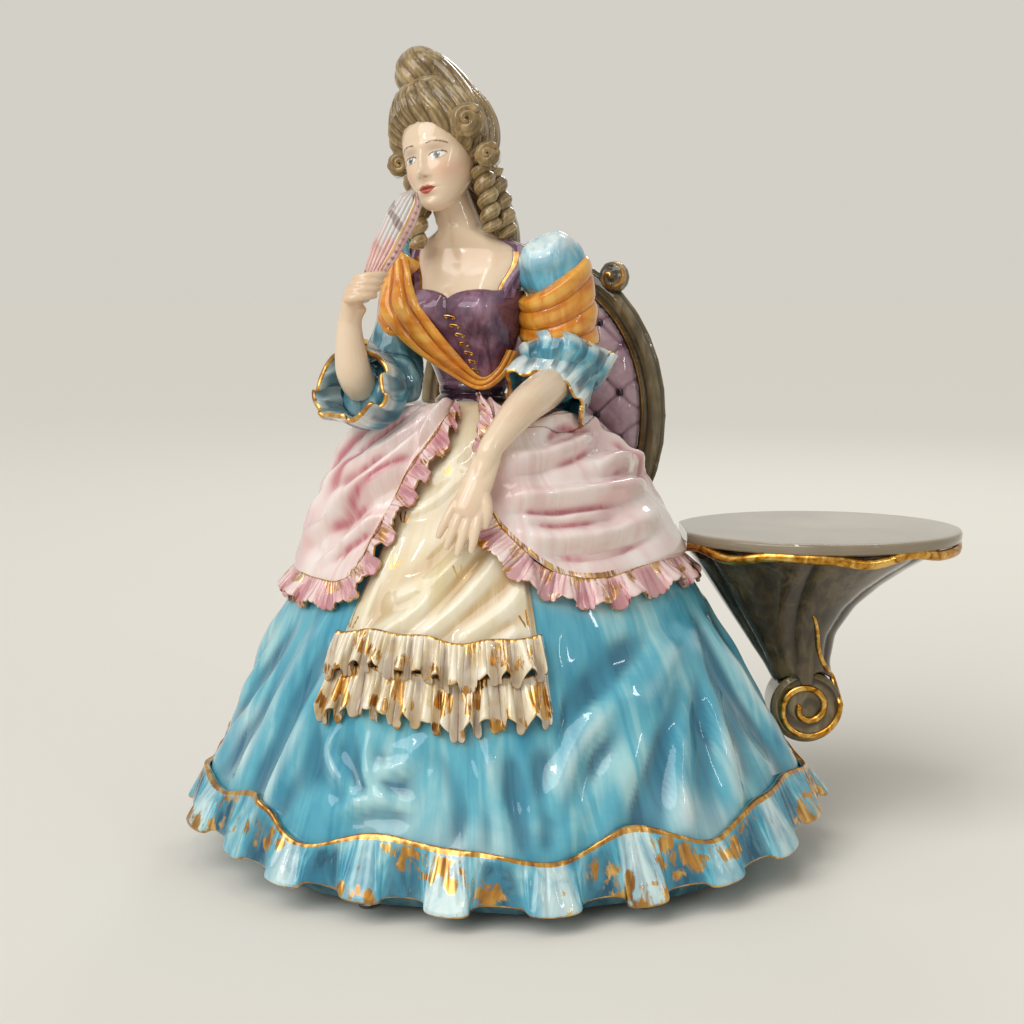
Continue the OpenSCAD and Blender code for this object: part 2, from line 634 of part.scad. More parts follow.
// Straps that run from the bodice over the shoulders
module straps_blank(grow)
    for (way = [-1, 1])
        layer(4, 5,
            function(s, w) [270 + way * mix(66, 55, w) + (strap_w + 3 * grow) * mix(-0.5, 0.5, s),
                mix(0.95, bodice_share + gap / torso_h, w)],
            function(s, w, p) lay_gap - 2 * grow,
            function(s, w, p) lay_gap + grow + strap_t * mix(0.7, 1, sin(180 * s)),
            function(p, d) on_torso(p[0], p[1], d));
module bodice_straps() color("#5E3A4E") place() straps_blank(0);

module chest() color("#EBD3B4") place() difference() {
    skin([for (h = chest_levels) torso_ring(h, 0)]);
    translate(neck_foot - [0, 0, peg_l + gap]) cylinder(d = neck_peg_d + 2 * gap, h = peg_l + 2);
}

module head() color("#EBD3B4") place() {
    resize([0, 0, 0]) head_blank(0);
    translate(neck_foot - [0, 0, peg_l]) cylinder(d = neck_peg_d, h = peg_l + 4);
}

module hair_crown() color("#8B7858") place() trimmed() {
    hair_blank(0);
    head_blank(gap);
}

// Coiled bun: a rope of hair wound up to a point
module topknot() color("#8B7858") place() trimmed() {
    on_head() skin([for (i = [0 : 12])
        let (k = i / 12, r = topknot_d / 2 * sqrt(sin(mix(20, 172, k))))
        [for (j = [0 : 9])
            let (b = 36 * j, ridge = 1 + 0.07 * cos(3 * 360 * k - b))
            [-4 + r * ridge * cos(b), r * ridge * sin(b), head_h * 0.6 + topknot_d * k]]]);
    hair_blank(gap);
}

// Rolled curls at the temples, their ends turned to the front
curl_a = 125;
curl_shape = [[-0.5, 0.36], [-0.25, 0.5], [0.25, 0.5], [0.5, 0.36]];
module curl(c, size, l, grow) on_head() translate(c) rotate([0, 0, curl_a])
    tube([for (q = curl_shape) [q[0] * (l + 2 * grow), 0, 0, q[1] * curl_d * size + grow]], 6, 10);
module curls_blank(grow) {
    curl([head_w * 0.62, -head_d * 0.14, head_h * 0.25], 1, curl_d, grow);
    curl([head_w * 0.68, head_d * 0.05, -head_h * 0.06], 0.75, curl_d * 0.8, grow);
    curl([-head_w * 0.6, -head_d * 0.12, head_h * 0.06], 0.75, curl_d * 0.7, grow);
}
module side_curls() color("#8B7858") place() trimmed() {
    union() curls_blank(0);
    hair_blank(gap);
    head_blank(gap);
}

// Corkscrew ringlet from one point to another
module ringlet(from, to, turns)
    tube([for (i = [0 : 16])
        let (k = i / 16, b = 360 * turns * k, w = ringlet_d * 0.16 * sin(180 * mix(0.1, 0.9, k)))
        concat(mix(from, to, k) + [w * cos(b), w * sin(b), 0], [ringlet_d * 0.34 * mix(0.8, 1, sin(180 * k))])],
        16, 6, 1, [1, 0, 0]);
module ringlets_left() color("#8B7858") place() trimmed() {
    union() {
        ringlet(head_c + [18, -8, -2], head_c + [24, -10, -34], 3);
        ringlet(head_c + [23, 1, -4], head_c + [32, -4, -37], 3);
    }
    curls_blank(gap);
    hair_blank(gap);
    head_blank(gap);
    torso_blank(gap);
}
module ringlets_right() color("#8B7858") place() trimmed() {
    union() {
        ringlet(head_c + [-15, 5, -6], head_c + [-12, -6, -42], 3);
        ringlet(head_c + [-9.5, 12, -9], head_c + [-13, 4, -34], 3);
    }
    hair_blank(gap);
    head_blank(gap);
    torso_blank(gap);
}

// Loose hair that falls down the back to the shoulder
module back_hair_blank(grow)
    tube([for (p = [[12, 18, 6, 13], [18, 25, -12, 14], [27, 22, -32, 12], [32, 18, -46, 7]])
        concat(head_c + spot(p), [p[3] + grow])], 10, 12, 0.8, [1, 0, 0]);
module back_hair() color("#8B7858") place() trimmed() {
    back_hair_blank(0);
    hair_blank(gap);
    head_blank(gap);
    torso_blank(gap);
}

module sleeve_blank(arm, grow) tube(part_of(arm, 0, 1, 10, grow), 12, 14, 1, [0, 1, 0]);
// Round of the right sleeve's bent top
module shoulder_balls(grow)
    for (k = [0, 0.1, 0.2])
        let (c = curve(arm_r, k))
        egg(spot(c), (c[3] + grow) * [1, 1, 1], 12, 6);
module sleeve_left() color("#8CC9DC") place() trimmed() {
    sleeve_blank(arm_l, 0);
    torso_blank(gap);
    straps_blank(gap);
    back_hair_blank(gap);
    seat_blank();
}
module sleeve_right() color("#3A9CBE") place() trimmed() {
    sleeve_blank(arm_r, 0);
    torso_blank(gap);
    straps_blank(3 * gap);
    seat_blank();
}

// Shawl wound round the left upper arm in rolls, between two shares of the arm's length
wrap_from = 0.36;
wrap_to = 0.72;
wrap_rolls = 3;
module shawl_wrap_blank(grow) tube([for (i = [0 : 10])
    let (k = i / 10, roll = shawl_t * (0.72 + 0.28 * cos(360 * wrap_rolls * (k - 0.5))))
    curve(arm_l, mix(wrap_from, wrap_to, k)) + [0, 0, 0, gap + roll + grow]],
    10, 12, 1, [0, 1, 0]);
module shawl_arm_wrap() color("#E08A1E") place() trimmed() {
    shawl_wrap_blank(0);
    sleeve_blank(arm_l, gap);
    torso_blank(gap);
}

// Shawl drawn across the front from the right shoulder to the waist and up to the left arm. Each row has the
// angle and height share of its middle, its width as a share of the full one, and its lean in degrees.
shawl_line = [[200, 0.9, 0.7, 10], [206, 0.76, 0.95, 12], [222, 0.53, 1, 14], [254, 0.29, 0.66, 6],
    [285, 0.19, 0.45, 3], [312, 0.18, 0.34, 2], [335, 0.25, 0.4, 2], [352, 0.36, 0.45, 2]];
// Fullness of the shawl's folds as a share of its width
shawl_full = 0.14;
module shawl_front_blank(grow)
    layer(16, 4,
        function(s, w)
            let (c = curve(shawl_line, s), off = mix(0.5, -0.5, w))
            [c[0] + 2 * off * c[3], c[1] + off * c[2] * shawl_w / torso_h],
        function(s, w, p) -1,
        function(s, w, p) gap + band_t + grow + shawl_w * shawl_full * mix(0.7, 1, sin(180 * w))
            + 0.7 * cos(720 * w + 200 * s),
        function(p, d) on_torso(p[0], p[1], d));
module shawl_shoulder_blank()
    tube(part_of(arm_r, 0.17, 0.42, 6, gap + shawl_t * 0.55), 5, 10, 1, [0, 1, 0]);
module shawl_front() color("#E08A1E") place() trimmed() {
    union() {
        shawl_front_blank(0);
        shawl_shoulder_blank();
    }
    torso_blank(gap);
    waist_band_blank(gap);
    sleeve_blank(arm_l, gap);
    sleeve_blank(arm_r, 3 * gap);
    shoulder_balls(3 * gap);
    shawl_wrap_blank(gap);
    straps_blank(gap);
    head_blank(gap);
}
module waist_band_blank(grow)
    skin([for (k = [-0.1, 1]) torso_ring(k * band_h / torso_h, 2 * gap + band_t + grow)]);

// Bell-shaped cuff with a waved rim
module cuff(arm, from, flare, waves) {
    n = waves * wave_n;
    rows = 3;
    function ring(i, grow) =
        let (k = i / rows,
            c = curve(arm, mix(from, 1, k)),
            q = curve(arm, mix(from, 1, k) - 0.02),
            along = unit(spot(c) - spot(q)),
            side = unit(cross([0, 1, 0], along)),
            up = cross(along, side))
        [for (j = [0 : n - 1])
            let (b = 360 * j / n,
                wave = 1 + 0.16 * k * cos(waves * b),
                r = c[3] + lay_gap + grow + flare * pow(k, 0.7) * wave)
            spot(c) + along * cuff_reach * k * k + r * (cos(b) * side + sin(b) * up)];
    shell([for (i = [0 : rows]) ring(i, cuff_t)], [for (i = [0 : rows]) ring(i, 0)]);
}
module cuff_left() color("#6DA9B4") place() trimmed() {
    cuff(arm_l, cuff_from_l, cuff_flare, cuff_waves_l);
    shawl_wrap_blank(gap);
    torso_blank(gap);
    waist_band_blank(gap);
    shawl_front_blank(gap);
    seat_blank();
}
module cuff_right() color("#6DA9B4") place() trimmed() {
    cuff(arm_r, cuff_from_r, cuff_flare * cuff_right_share, cuff_waves_r);
    sleeve_blank(arm_r, gap);
    forearm_r_blank(gap);
    seat_blank();
}

// Hand: a flat palm with four fingers and a thumb, along dir, with side towards the thumb and lift off the palm
module hand(at, dir, side, lift, curl_by) {
    r = finger_d / 2;
    tube([concat(at - dir * wrist_d * 1.2, [wrist_d / 2]), concat(at - dir * 3, [wrist_d * 0.62]),
        concat(at + dir * wrist_d * 0.5, [wrist_d * 0.66])], 3, 8, 0.55, lift);
    for (i = [0 : 3])
        let (root = at + dir * (wrist_d * 0.35 - abs(i - 1.4)) + side * (1.5 - i) * finger_d * 0.78)
        tube([concat(root, [r]), concat(root + dir * 9 + lift * 0.8, [r * 0.95]),
            concat(root + dir * (17 - abs(i - 1.4) * 1.6) - lift * curl_by, [r * 0.6])], 3, 6, 1, side);
    tube([concat(at - dir * 4 + side * wrist_d * 0.4, [r * 1.1]),
        concat(at + dir * 4 + side * wrist_d * 0.85, [r]),
        concat(at + dir * 11 + side * wrist_d * 0.8 - lift * curl_by * 0.6, [r * 0.65])], 3, 6, 1, lift);
}

module forearm_left() color("#EBD3B4") place() {
    start = spot(cuff_end_l);
    dir = unit(palm_l - wrist_l);
    up = skirt_out((wrist_a + palm_a) / 2, out((wrist_drop + palm_drop) / 2));
    side = unit(cross(up, dir));
    resize([0, 0, 0]) difference() {
        union() {
            tube([concat(start + [0, -1, -2], [forearm_d * 0.5]), concat(start + [-2, -8, -9], [forearm_d * 0.52]),
                concat(mix(start, wrist_l, 0.5) + [0, -7, 4], [forearm_d * 0.44]),
                concat(wrist_l, [wrist_d / 2]), concat(palm_l - dir * 4, [wrist_d / 2])], 9, 9, 1, [1, 0, 0]);
            hand(palm_l, dir, side, up, 1.5);
        }
        sleeve_blank(arm_l, gap);
        seat_blank();
    }
}

module forearm_r_blank(grow) {
    start = spot(cuff_end_r);
    tube([for (q = [[start + [1, 3, 0], forearm_d * 0.46], [start + [-3, -7, 11], forearm_d * 0.46],
            [wrist_r, wrist_d / 2], [palm_r - 3 * unit(palm_r - wrist_r), wrist_d / 2]])
        concat(q[0], [q[1] + grow])], 7, 9, 1, [0, 1, 0]);
}
module forearm_right() color("#EBD3B4") place() {
    dir = unit(palm_r - wrist_r);
    resize([0, 0, 0]) difference() {
        union() {
            forearm_r_blank(0);
            hand(palm_r, dir, unit(cross([0, -1, 0], dir)), [0, -1, 0], 5);
        }
        sleeve_blank(arm_r, gap);
        fan_blank(gap);
    }
}

// Closed fan: a leaf-shaped bundle of sticks, as [share of the length, share of the half width]
fan_shape = [[0, 0.5], [0.22, 0.58], [0.5, 1], [0.8, 0.9], [0.94, 0.6], [1, 0.3]];
module fan_blank(grow) {
    side = unit(cross([0, 1, 0], fan_dir));
    skin([for (q = fan_shape)
        let (c = fan_foot + fan_dir * (fan_l * q[0] - fan_butt), w = fan_w / 2 * q[1] + grow, t = fan_t / 2 + grow)
        [for (j = [0 : 9]) c + side * w * cos(36 * j) + [0, 1, 0] * t * sin(36 * j)]]);
}
module fan() color("#C7A9A5") place() trimmed() {
    fan_blank(0);
    head_blank(gap);
}

module chair_frame() color("#7A6B4E") place() trimmed() {
    rail_blank(0);
    seat_blank();
    below_back();
}
// Pad with a crown and tufts drawn in on a diamond grid
pad_rx = back_rx - rail_r - gap;
pad_rz = back_rz - rail_r - gap;
function tuft(x, z) = pow(abs(cos(180 * (x + z) / tuft_step) * cos(180 * (x - z) / tuft_step)), 0.5);
function pad_pt(b, k, face) =
    let (x = pad_rx * k * cos(b),
        z = pad_rz * k * sin(b),
        crown = pad_t * sqrt(max(0, 1 - pow(k, 4))) * mix(0.72, 1, tuft(x, z)))
    [x, face ? -crown : 2, back_cz + z];
module pad_blank() on_chair()
    skin(concat([for (k = [0.3, 0.98]) [for (j = [0 : 29]) pad_pt(12 * j, k, false)]],
        [for (k = [1, 0.93, 0.82, 0.69, 0.55, 0.4, 0.25, 0.12]) [for (j = [0 : 29]) pad_pt(12 * j, k, true)]]));
module chair_pad() color("#B59AA2") place() trimmed() {
    pad_blank();
    seat_blank();
    below_back();
}
panel_t = 5;
module chair_back_panel() color("#6B5D43") place() trimmed() {
    on_chair() translate([0, 2 + gap + panel_t, back_cz]) rotate([90, 0, 0])
        linear_extrude(panel_t) polygon(oval(pad_rx, pad_rz, 40));
    seat_blank();
    below_back();
    rail_blank(gap);
}
module chair_scrolls() color("#7A6B4E") place() trimmed() {
    on_chair() for (side = [-1, 1])
        egg([side * (back_rx * cos(52) + 3), -2, back_cz + back_rz * sin(52) + rail_r + 3],
            [scroll_ball_d / 2, scroll_ball_d / 2, scroll_ball_d / 2], 10, 6);
    rail_blank(gap);
}

module console_plan(grow) polygon(oval(top_w / 2 + grow, top_d / 2 + grow, 72));
module console_top() color("#A59A86") place()
    difference() {
        translate([console_x, console_y, top_z - top_t]) linear_extrude(top_t) console_plan(0);
        translate([console_seat - top_w, -top_w, top_z - top_t - 1]) cube([top_w, 3 * top_w, top_t + 2]);
    }
// Gilt bead that waves along the underside of the top's edge
module console_bead() color("#C9962E") place() trimmed() {
    hoop([for (i = [0 : 35])
        let (b = -10 * i, away = [cos(b), sin(b), 0], deep = bead_d / 2 * (1 + bead_wave * cos(6 * b)))
        [for (j = [0 : 5])
            [console_x + (top_w / 2 - bead_d / 2) * cos(b), console_y + (top_d / 2 - bead_d / 2) * sin(b),
                bracket_top - deep]
            + bead_d / 2 * cos(60 * j) * away + [0, 0, deep * sin(60 * j)]]]);
    beside_blank();
    bracket_blank(gap);
}
module bracket_blank(grow) {
    z0 = volute_at[2] + volute_r * 0.6;
    skin([for (k = [0, 0.15, 0.35, 0.55, 0.7, 0.82, 0.92, 1])
        let (flare = min(1, flare_full * pow(k, flare_power)),
            c = mix([volute_at[0], volute_at[1]], [console_x, console_y], k) - [bracket_sway * sin(180 * k), 0],
            rx = mix(volute_r * 0.86, top_w / 2 - bead_d - gap, flare) + grow,
            ry = mix(volute_w * 0.55, top_d / 2 - bead_d - gap, flare) + grow)
        [for (j = [0 : 27])
            let (b = 360 * j / 28)
            [c[0] + rx * cos(b), c[1] + ry * sin(b), mix(z0, bracket_top, k)]]]);
}
module console_bracket() color("#5A4E38") place() trimmed() {
    bracket_blank(0);
    beside_blank();
    volute_blank(gap);
}
module volute_blank(grow)
    translate(volute_at) rotate([90, 0, 0])
        cylinder(r = volute_r + grow, h = volute_w + 2 * grow, center = true);
// Rolled foot of the bracket, its coil drawn as a spiral groove in both ends
module console_scroll() color("#6B5D43") place()
    translate(volute_at) rotate([90, 0, 0])
        difference() {
            cylinder(r = volute_r, h = volute_w, center = true);
            for (side = [-1, 1])
                translate([0, 0, side * volute_w / 2])
                    linear_extrude(2 * groove_d, center = true) coil_groove();
        }
groove_w = 2;
groove_d = 2;
function coil_r(i) = volute_r * (0.82 - 0.62 * i / 30);
module coil_groove() polygon(concat(
    [for (i = [0 : 30]) coil_r(i) * [cos(24 * i), sin(24 * i)]],
    [for (i = [30 : -1 : 0]) (coil_r(i) - groove_w) * [cos(24 * i), sin(24 * i)]]));

foot_pads();
base();
skirt();
hem_flounce();
apron();
apron_frill_upper();
apron_frill_lower();
overskirt_right();
overskirt_left();
overskirt_frill_right();
overskirt_frill_left();
waist_band();
bodice();
bodice_straps();
chest();
head();
hair_crown();
topknot();
side_curls();
ringlets_right();
ringlets_left();
back_hair();
sleeve_right();
sleeve_left();
shawl_front();
shawl_arm_wrap();
cuff_right();
cuff_left();
forearm_right();
forearm_left();
fan();
chair_frame();
chair_pad();
chair_back_panel();
chair_scrolls();
console_top();
console_bead();
console_bracket();
console_scroll();
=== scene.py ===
import math

import bmesh
import bpy
import numpy as np
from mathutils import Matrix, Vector


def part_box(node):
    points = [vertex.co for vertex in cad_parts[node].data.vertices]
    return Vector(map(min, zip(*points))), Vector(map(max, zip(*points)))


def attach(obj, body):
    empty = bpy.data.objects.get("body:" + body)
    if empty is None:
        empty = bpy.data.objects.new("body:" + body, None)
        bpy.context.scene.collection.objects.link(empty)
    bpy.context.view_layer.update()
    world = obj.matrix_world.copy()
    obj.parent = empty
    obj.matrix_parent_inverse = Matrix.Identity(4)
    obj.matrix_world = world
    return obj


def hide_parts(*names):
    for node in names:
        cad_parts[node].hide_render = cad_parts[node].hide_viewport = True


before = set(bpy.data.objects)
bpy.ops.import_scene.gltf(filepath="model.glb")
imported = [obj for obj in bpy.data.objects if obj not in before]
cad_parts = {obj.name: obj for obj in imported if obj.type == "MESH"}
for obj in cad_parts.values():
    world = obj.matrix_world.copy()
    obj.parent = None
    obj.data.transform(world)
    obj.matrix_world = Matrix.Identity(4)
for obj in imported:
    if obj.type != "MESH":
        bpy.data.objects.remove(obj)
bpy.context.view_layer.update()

MM = 0.001
TURN = 2 * math.pi
# Angles round the figure and its torso, in degrees
FRONT = 270
BACK = 90
# The foot pads stand round a point this far in front of the skirt's axis
FOOT_FORWARD = 9
pads_low, pads_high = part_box("foot_pads")
AXIS = np.array([(pads_low.x + pads_high.x) / 2 / MM, (pads_low.y + pads_high.y) / 2 / MM + FOOT_FORWARD, 0])

# Skirt
SKIRT_H = 217
HEM_Z = 9
HEM_SIDE = 154
HEM_FRONT = 116
HEM_BACK = 112
HEM_LIFT = 36
WAIST_R = 15
WAIST = np.array([-16, 4, HEM_Z + SKIRT_H])
FOLD_DEPTH = 3
BELL = 1.75
SLIP = 0.9
# Layers on the skirt
APRON_DROP = 112
APRON_T = 3
OVER_DROP = 82
FRILL_T = 2.2
# Torso
TORSO_H = 82
TORSO_TURN = 20
BUST_W = 54
BUST_D = 43
SHOULDER_W = 62
NECK_D = 21
# Head
HEAD_H = 52
HEAD_W = 38
HEAD_D = 45
HEAD_TURN = 38
FACE_TURN = 27
HEAD_TILT = 11
# Arms
SLEEVE_R = 14.5
WRIST_D = 12


def cosd(a):
    return np.cos(np.radians(a))


def sind(a):
    return np.sin(np.radians(a))


def mix(a, b, share):
    return a + (b - a) * share


def ease(share):
    share = np.clip(share, 0, 1)
    return share * share * (3 - 2 * share)


def points(x, y, z):
    return np.stack(np.broadcast_arrays(x, y, z), -1).astype(float)


def unit(v):
    return v / np.linalg.norm(v, axis=-1, keepdims=True)


def turn_z(p, a):
    return points(p[..., 0] * cosd(a) - p[..., 1] * sind(a), p[..., 0] * sind(a) + p[..., 1] * cosd(a), p[..., 2])


def curve(through, share):
    """Points at the shares along a smooth curve through the given ones."""
    through = np.asarray(through, float)
    last = len(through) - 1
    x = np.clip(share, 0, 1) * last
    i = np.minimum(last - 1, np.floor(x).astype(int))
    t = (x - i)[..., None]
    p0 = through[np.maximum(0, i - 1)]
    p1 = through[i]
    p2 = through[i + 1]
    p3 = through[np.minimum(last, i + 2)]
    bend = 2 * p0 - 5 * p1 + 4 * p2 - p3
    return 0.5 * (2 * p1 + (p2 - p0) * t + bend * t**2 + (3 * p1 - p0 - 3 * p2 + p3) * t**3)


def wobble(p, size, seed):
    """Unevenness of handwork, from about -1 to 1, with waves of the given size."""
    draw = np.random.default_rng(seed)
    total = np.zeros(len(p))
    for _ in range(7):
        way = unit(draw.normal(size=3))
        total += np.sin(p @ (way * draw.uniform(0.6, 1.6) * TURN / size) + draw.uniform(0, TURN))
    return total / 3


def near_line(p, line):
    """Distance of each point from the line, and the share along the line of the place nearest to it."""
    best = np.full(len(p), 1e9)
    share = np.zeros(len(p))
    for i, start in enumerate(line[:-1]):
        run = line[i + 1] - start
        along = np.clip((p - start) @ run / (run @ run), 0, 1)
        gap = ((p - start - along[:, None] * run) ** 2).sum(-1)
        closer = gap < best
        best[closer] = gap[closer]
        share[closer] = (i + along[closer]) / (len(line) - 1)
    return np.sqrt(best), share


def rounded_ends(w, share):
    """Way in which a tube closes to round ends over the given share of its length."""
    return np.sqrt(np.clip(1 - (1 - np.minimum(np.minimum(w, 1 - w) / share, 1)) ** 2, 0, 1))


def strands(turn):
    """Rounded strands side by side: 1 on each one's middle, 0 in the line between two."""
    return np.abs(np.sin(np.radians(turn))) ** 0.7


def rolls(x, power=0.6):
    """Rounded rolls side by side, one for each whole step of x: 1 on each one's middle, 0 between two."""
    return np.abs(np.sin(math.pi * x)) ** power


def hump(x):
    """1 where x is 0, down to nearly 0 where it is 2 or -2."""
    return np.exp(-(x**2))


def hollow(wave, level):
    """1 in the line between two strands or folds, down to 0 where the wave is at the given level."""
    return ease((level - wave) / (level - 0.05))


# Skirt surface: a is the angle round the axis, 270 in front, and u the share of the way out from waist to hem
def out(drop):
    return np.clip(drop / SKIRT_H, 0, 1) ** (1 / BELL)


def skirt_pt(a, u):
    front = sind(a) < 0
    u = np.maximum(u, 0)
    reach = np.where(front, HEM_FRONT, HEM_BACK)
    power = np.where(front, 0.8, 0.9)
    fold = FOLD_DEPTH * u**3 * (0.65 * cosd(9 * (a + 8)) + 0.35 * cosd(13 * (a - 25)))
    rx = mix(WAIST_R, HEM_SIDE, u) + fold
    ry = mix(WAIST_R, reach, u**power) + fold
    lift = HEM_LIFT * (1 + sind(a)) / 2 * u**3
    z = HEM_Z + SKIRT_H * (1 - u**BELL) + lift
    return points(WAIST[0] * (1 - u) + rx * cosd(a), WAIST[1] * (1 - u) + ry * sind(a), z)


def skirt_out(a, u):
    step = np.minimum(0.02, u)
    across = skirt_pt(a + 1, u) - skirt_pt(a - 1, u)
    return unit(np.cross(across, skirt_pt(a, u - step) - skirt_pt(a, u + 0.02)))


def on_skirt(a, u, d):
    a, u, d = np.broadcast_arrays(np.asarray(a, float), np.asarray(u, float), np.asarray(d, float))
    return skirt_pt(a, u) + d[..., None] * skirt_out(a, u)


# Torso surface: b is the angle round the torso, 270 at its front, and h the share of its height
TORSO_ROWS = np.array([
    [0, 0, WAIST_R - 1, WAIST_R - 1.5],
    [0.16, 0, WAIST_R + 1, WAIST_R - 1],
    [0.42, 3, BUST_W * 0.44, BUST_D * 0.46],
    [0.58, 4, BUST_W / 2, BUST_D / 2],
    [0.7, 2, BUST_W * 0.52, BUST_D * 0.44],
    [0.84, -1, SHOULDER_W / 2, BUST_D * 0.36],
    [0.94, -2, SHOULDER_W * 0.44, BUST_D * 0.31],
    [1, -1, NECK_D * 0.66, NECK_D * 0.62],
])


def torso_pt(h, side, front):
    lean = points(-4 * h, 0, h * TORSO_H)
    return WAIST + lean + turn_z(points(side, -front, 0), -TORSO_TURN)


def bust(b, h):
    """Rise of the two bust cups over the torso."""
    rise = 0
    for way in (-1, 1):
        across = (b - FRONT - way * 29) * 0.42
        up = (h - 0.585) * TORSO_H
        rise = rise + 5.5 * np.exp(-((across / 10.5) ** 2) - (up / 10.5) ** 2)
    return rise


def on_torso(b, h, d):
    share = np.interp(h, TORSO_ROWS[:, 0], np.linspace(0, 1, len(TORSO_ROWS)))
    r = curve(TORSO_ROWS, share)
    d = d + bust(b, h)
    return torso_pt(h, (r[..., 2] + d) * cosd(b), r[..., 1] - (r[..., 3] + d) * sind(b))


# Head frame: faces -Y, x towards the lady's left, turned and tilted on the neck
NECK_FOOT = torso_pt(np.array(1.0), 0, 1)
HEAD_C = NECK_FOOT + [-10, -5, 14 + HEAD_H * 0.42]


def on_head(p, turn=HEAD_TURN):
    x = p[..., 0] * cosd(HEAD_TILT) - p[..., 2] * sind(HEAD_TILT)
    z = p[..., 0] * sind(HEAD_TILT) + p[..., 2] * cosd(HEAD_TILT)
    return HEAD_C + turn_z(points(x, p[..., 1], z), -turn)


# Arms as points [x, y, z, radius] from the shoulder down
def ball(p, r):
    return [p[0], p[1], p[2], r]


SHOULDER_L = torso_pt(np.array(0.9), SHOULDER_W / 2 + SLEEVE_R - 3, 0)
SHOULDER_R = torso_pt(np.array(0.84), -SHOULDER_W / 2 - SLEEVE_R + 13, 4)
ELBOW_L = WAIST + [46, -8, 25]
ELBOW_R = WAIST + [-40, -15, 10]
ARM_L = np.array([
    ball(SHOULDER_L + [-4, 0, 7], SLEEVE_R * 0.55),
    ball(SHOULDER_L + [0, 0, -2], SLEEVE_R),
    ball(mix(SHOULDER_L, ELBOW_L, 0.5) + [3, 2, 0], SLEEVE_R * 0.95),
    ball(ELBOW_L, SLEEVE_R * 0.9),
    ball(ELBOW_L + [-7, -16, -14], SLEEVE_R * 0.8),
])
ARM_R = np.array([
    ball(SHOULDER_R + [5, 0, 7], SLEEVE_R * 0.5),
    ball(SHOULDER_R, SLEEVE_R * 0.75),
    ball(mix(SHOULDER_R, ELBOW_R, 0.6) + [-4, 4, -4], SLEEVE_R),
    ball(ELBOW_R, SLEEVE_R * 1.1),
    ball(ELBOW_R + [-13, -19, -1], SLEEVE_R * 0.85),
])
WRIST_L = on_skirt(274, out(27), SLIP + APRON_T + 12.5 + WRIST_D * 0.6)
PALM_L = on_skirt(266, out(46), SLIP + APRON_T + 7.5 + WRIST_D * 0.45)
WRIST_R = ARM_R[-1, :3] + [-4, -11, 32]
PALM_R = WRIST_R + [5, -2, 14]
FAN_FOOT = PALM_R + [4, -2, 3]
FAN_DIR = unit(HEAD_C + [-HEAD_W * 0.3, -HEAD_D * 0.5, -HEAD_H * 0.25] - FAN_FOOT)


def tube_frame(line, share, ref):
    """Middle, way along, side and up of a tube's section at the shares along its line."""
    c = curve(line, share)
    along = unit(curve(line, share + 0.02)[..., :3] - curve(line, share - 0.02)[..., :3])
    side = unit(np.cross(np.asarray(ref, float), along))
    return c, along, side, np.cross(along, side)


def on_tube(line, share, turn, radius, ref=(0, 1, 0), flat=1.0):
    c, _, side, up = tube_frame(line, share, ref)
    swing = cosd(turn)[..., None] * side + flat * sind(turn)[..., None] * up
    return c[..., :3] + np.asarray(radius)[..., None] * swing


# Meshes
def corners(mesh):
    co = np.zeros(len(mesh.vertices) * 3)
    mesh.vertices.foreach_get("co", co)
    return co.reshape(-1, 3)


def set_corners(mesh, p):
    mesh.vertices.foreach_set("co", ((p + AXIS) * MM).ravel())
    mesh.update()


def mm_corners(mesh):
    return corners(mesh) / MM - AXIS


def mark(mesh, marks):
    """Keeps shares from 0 to 1 for each corner under their names. The paint reads 0 where a name is missing."""
    for name, values in marks.items():
        layer = mesh.attributes.get(name) or mesh.attributes.new(name, "FLOAT", "POINT")
        shares = np.clip(np.broadcast_to(values, len(mesh.vertices)), 0, 1)
        layer.data.foreach_set("value", shares.astype(np.float32))


def as_mesh(name, bm):
    mesh = bpy.data.meshes.new(name)
    bm.to_mesh(mesh)
    bm.free()
    return mesh


def stood(name, data):
    obj = bpy.data.objects.new(name, data)
    bpy.context.scene.collection.objects.link(obj)
    return obj


def soften(mesh):
    mesh.polygons.foreach_set("use_smooth", np.ones(len(mesh.polygons), bool))


def piece(name, mesh):
    soften(mesh)
    return stood(name, mesh)


def weld(mesh, outward=None):
    """Closes seams and poles, and turns the faces outwards: all round, or away from the point outward."""
    bm = bmesh.new()
    bm.from_mesh(mesh)
    bmesh.ops.remove_doubles(bm, verts=bm.verts, dist=0.00002)
    bmesh.ops.dissolve_degenerate(bm, edges=bm.edges, dist=0.00001)
    bmesh.ops.recalc_face_normals(bm, faces=bm.faces)
    if outward is not None:
        core = (np.asarray(outward, float) + AXIS) * MM
        facing = sum((np.array(f.calc_center_median()) - core) @ np.array(f.normal) for f in list(bm.faces)[::7])
        if facing < 0:
            bmesh.ops.reverse_faces(bm, faces=bm.faces)
    bm.to_mesh(mesh)
    bm.free()
    mesh.update()


def grid(name, cols, rows, place, span, outward=None):
    """Skin of cols by rows cells. place(s, w) gives the corners and the marks kept with them; span is its real size."""
    bm = bmesh.new()
    bmesh.ops.create_grid(bm, x_segments=cols, y_segments=rows, size=0.5)
    mesh = as_mesh(name, bm)
    flat = corners(mesh)
    s = flat[:, 0] + 0.5
    w = flat[:, 1] + 0.5
    loops = np.zeros(len(mesh.loops), int)
    mesh.loops.foreach_get("vertex_index", loops)
    cloth = mesh.uv_layers.new(name="cloth")
    cloth.data.foreach_set("uv", np.stack([s * span[0], w * span[1]], 1)[loops].ravel())
    placed, marks = place(s, w)
    set_corners(mesh, placed)
    mark(mesh, marks)
    weld(mesh, outward)
    return piece(name, mesh)


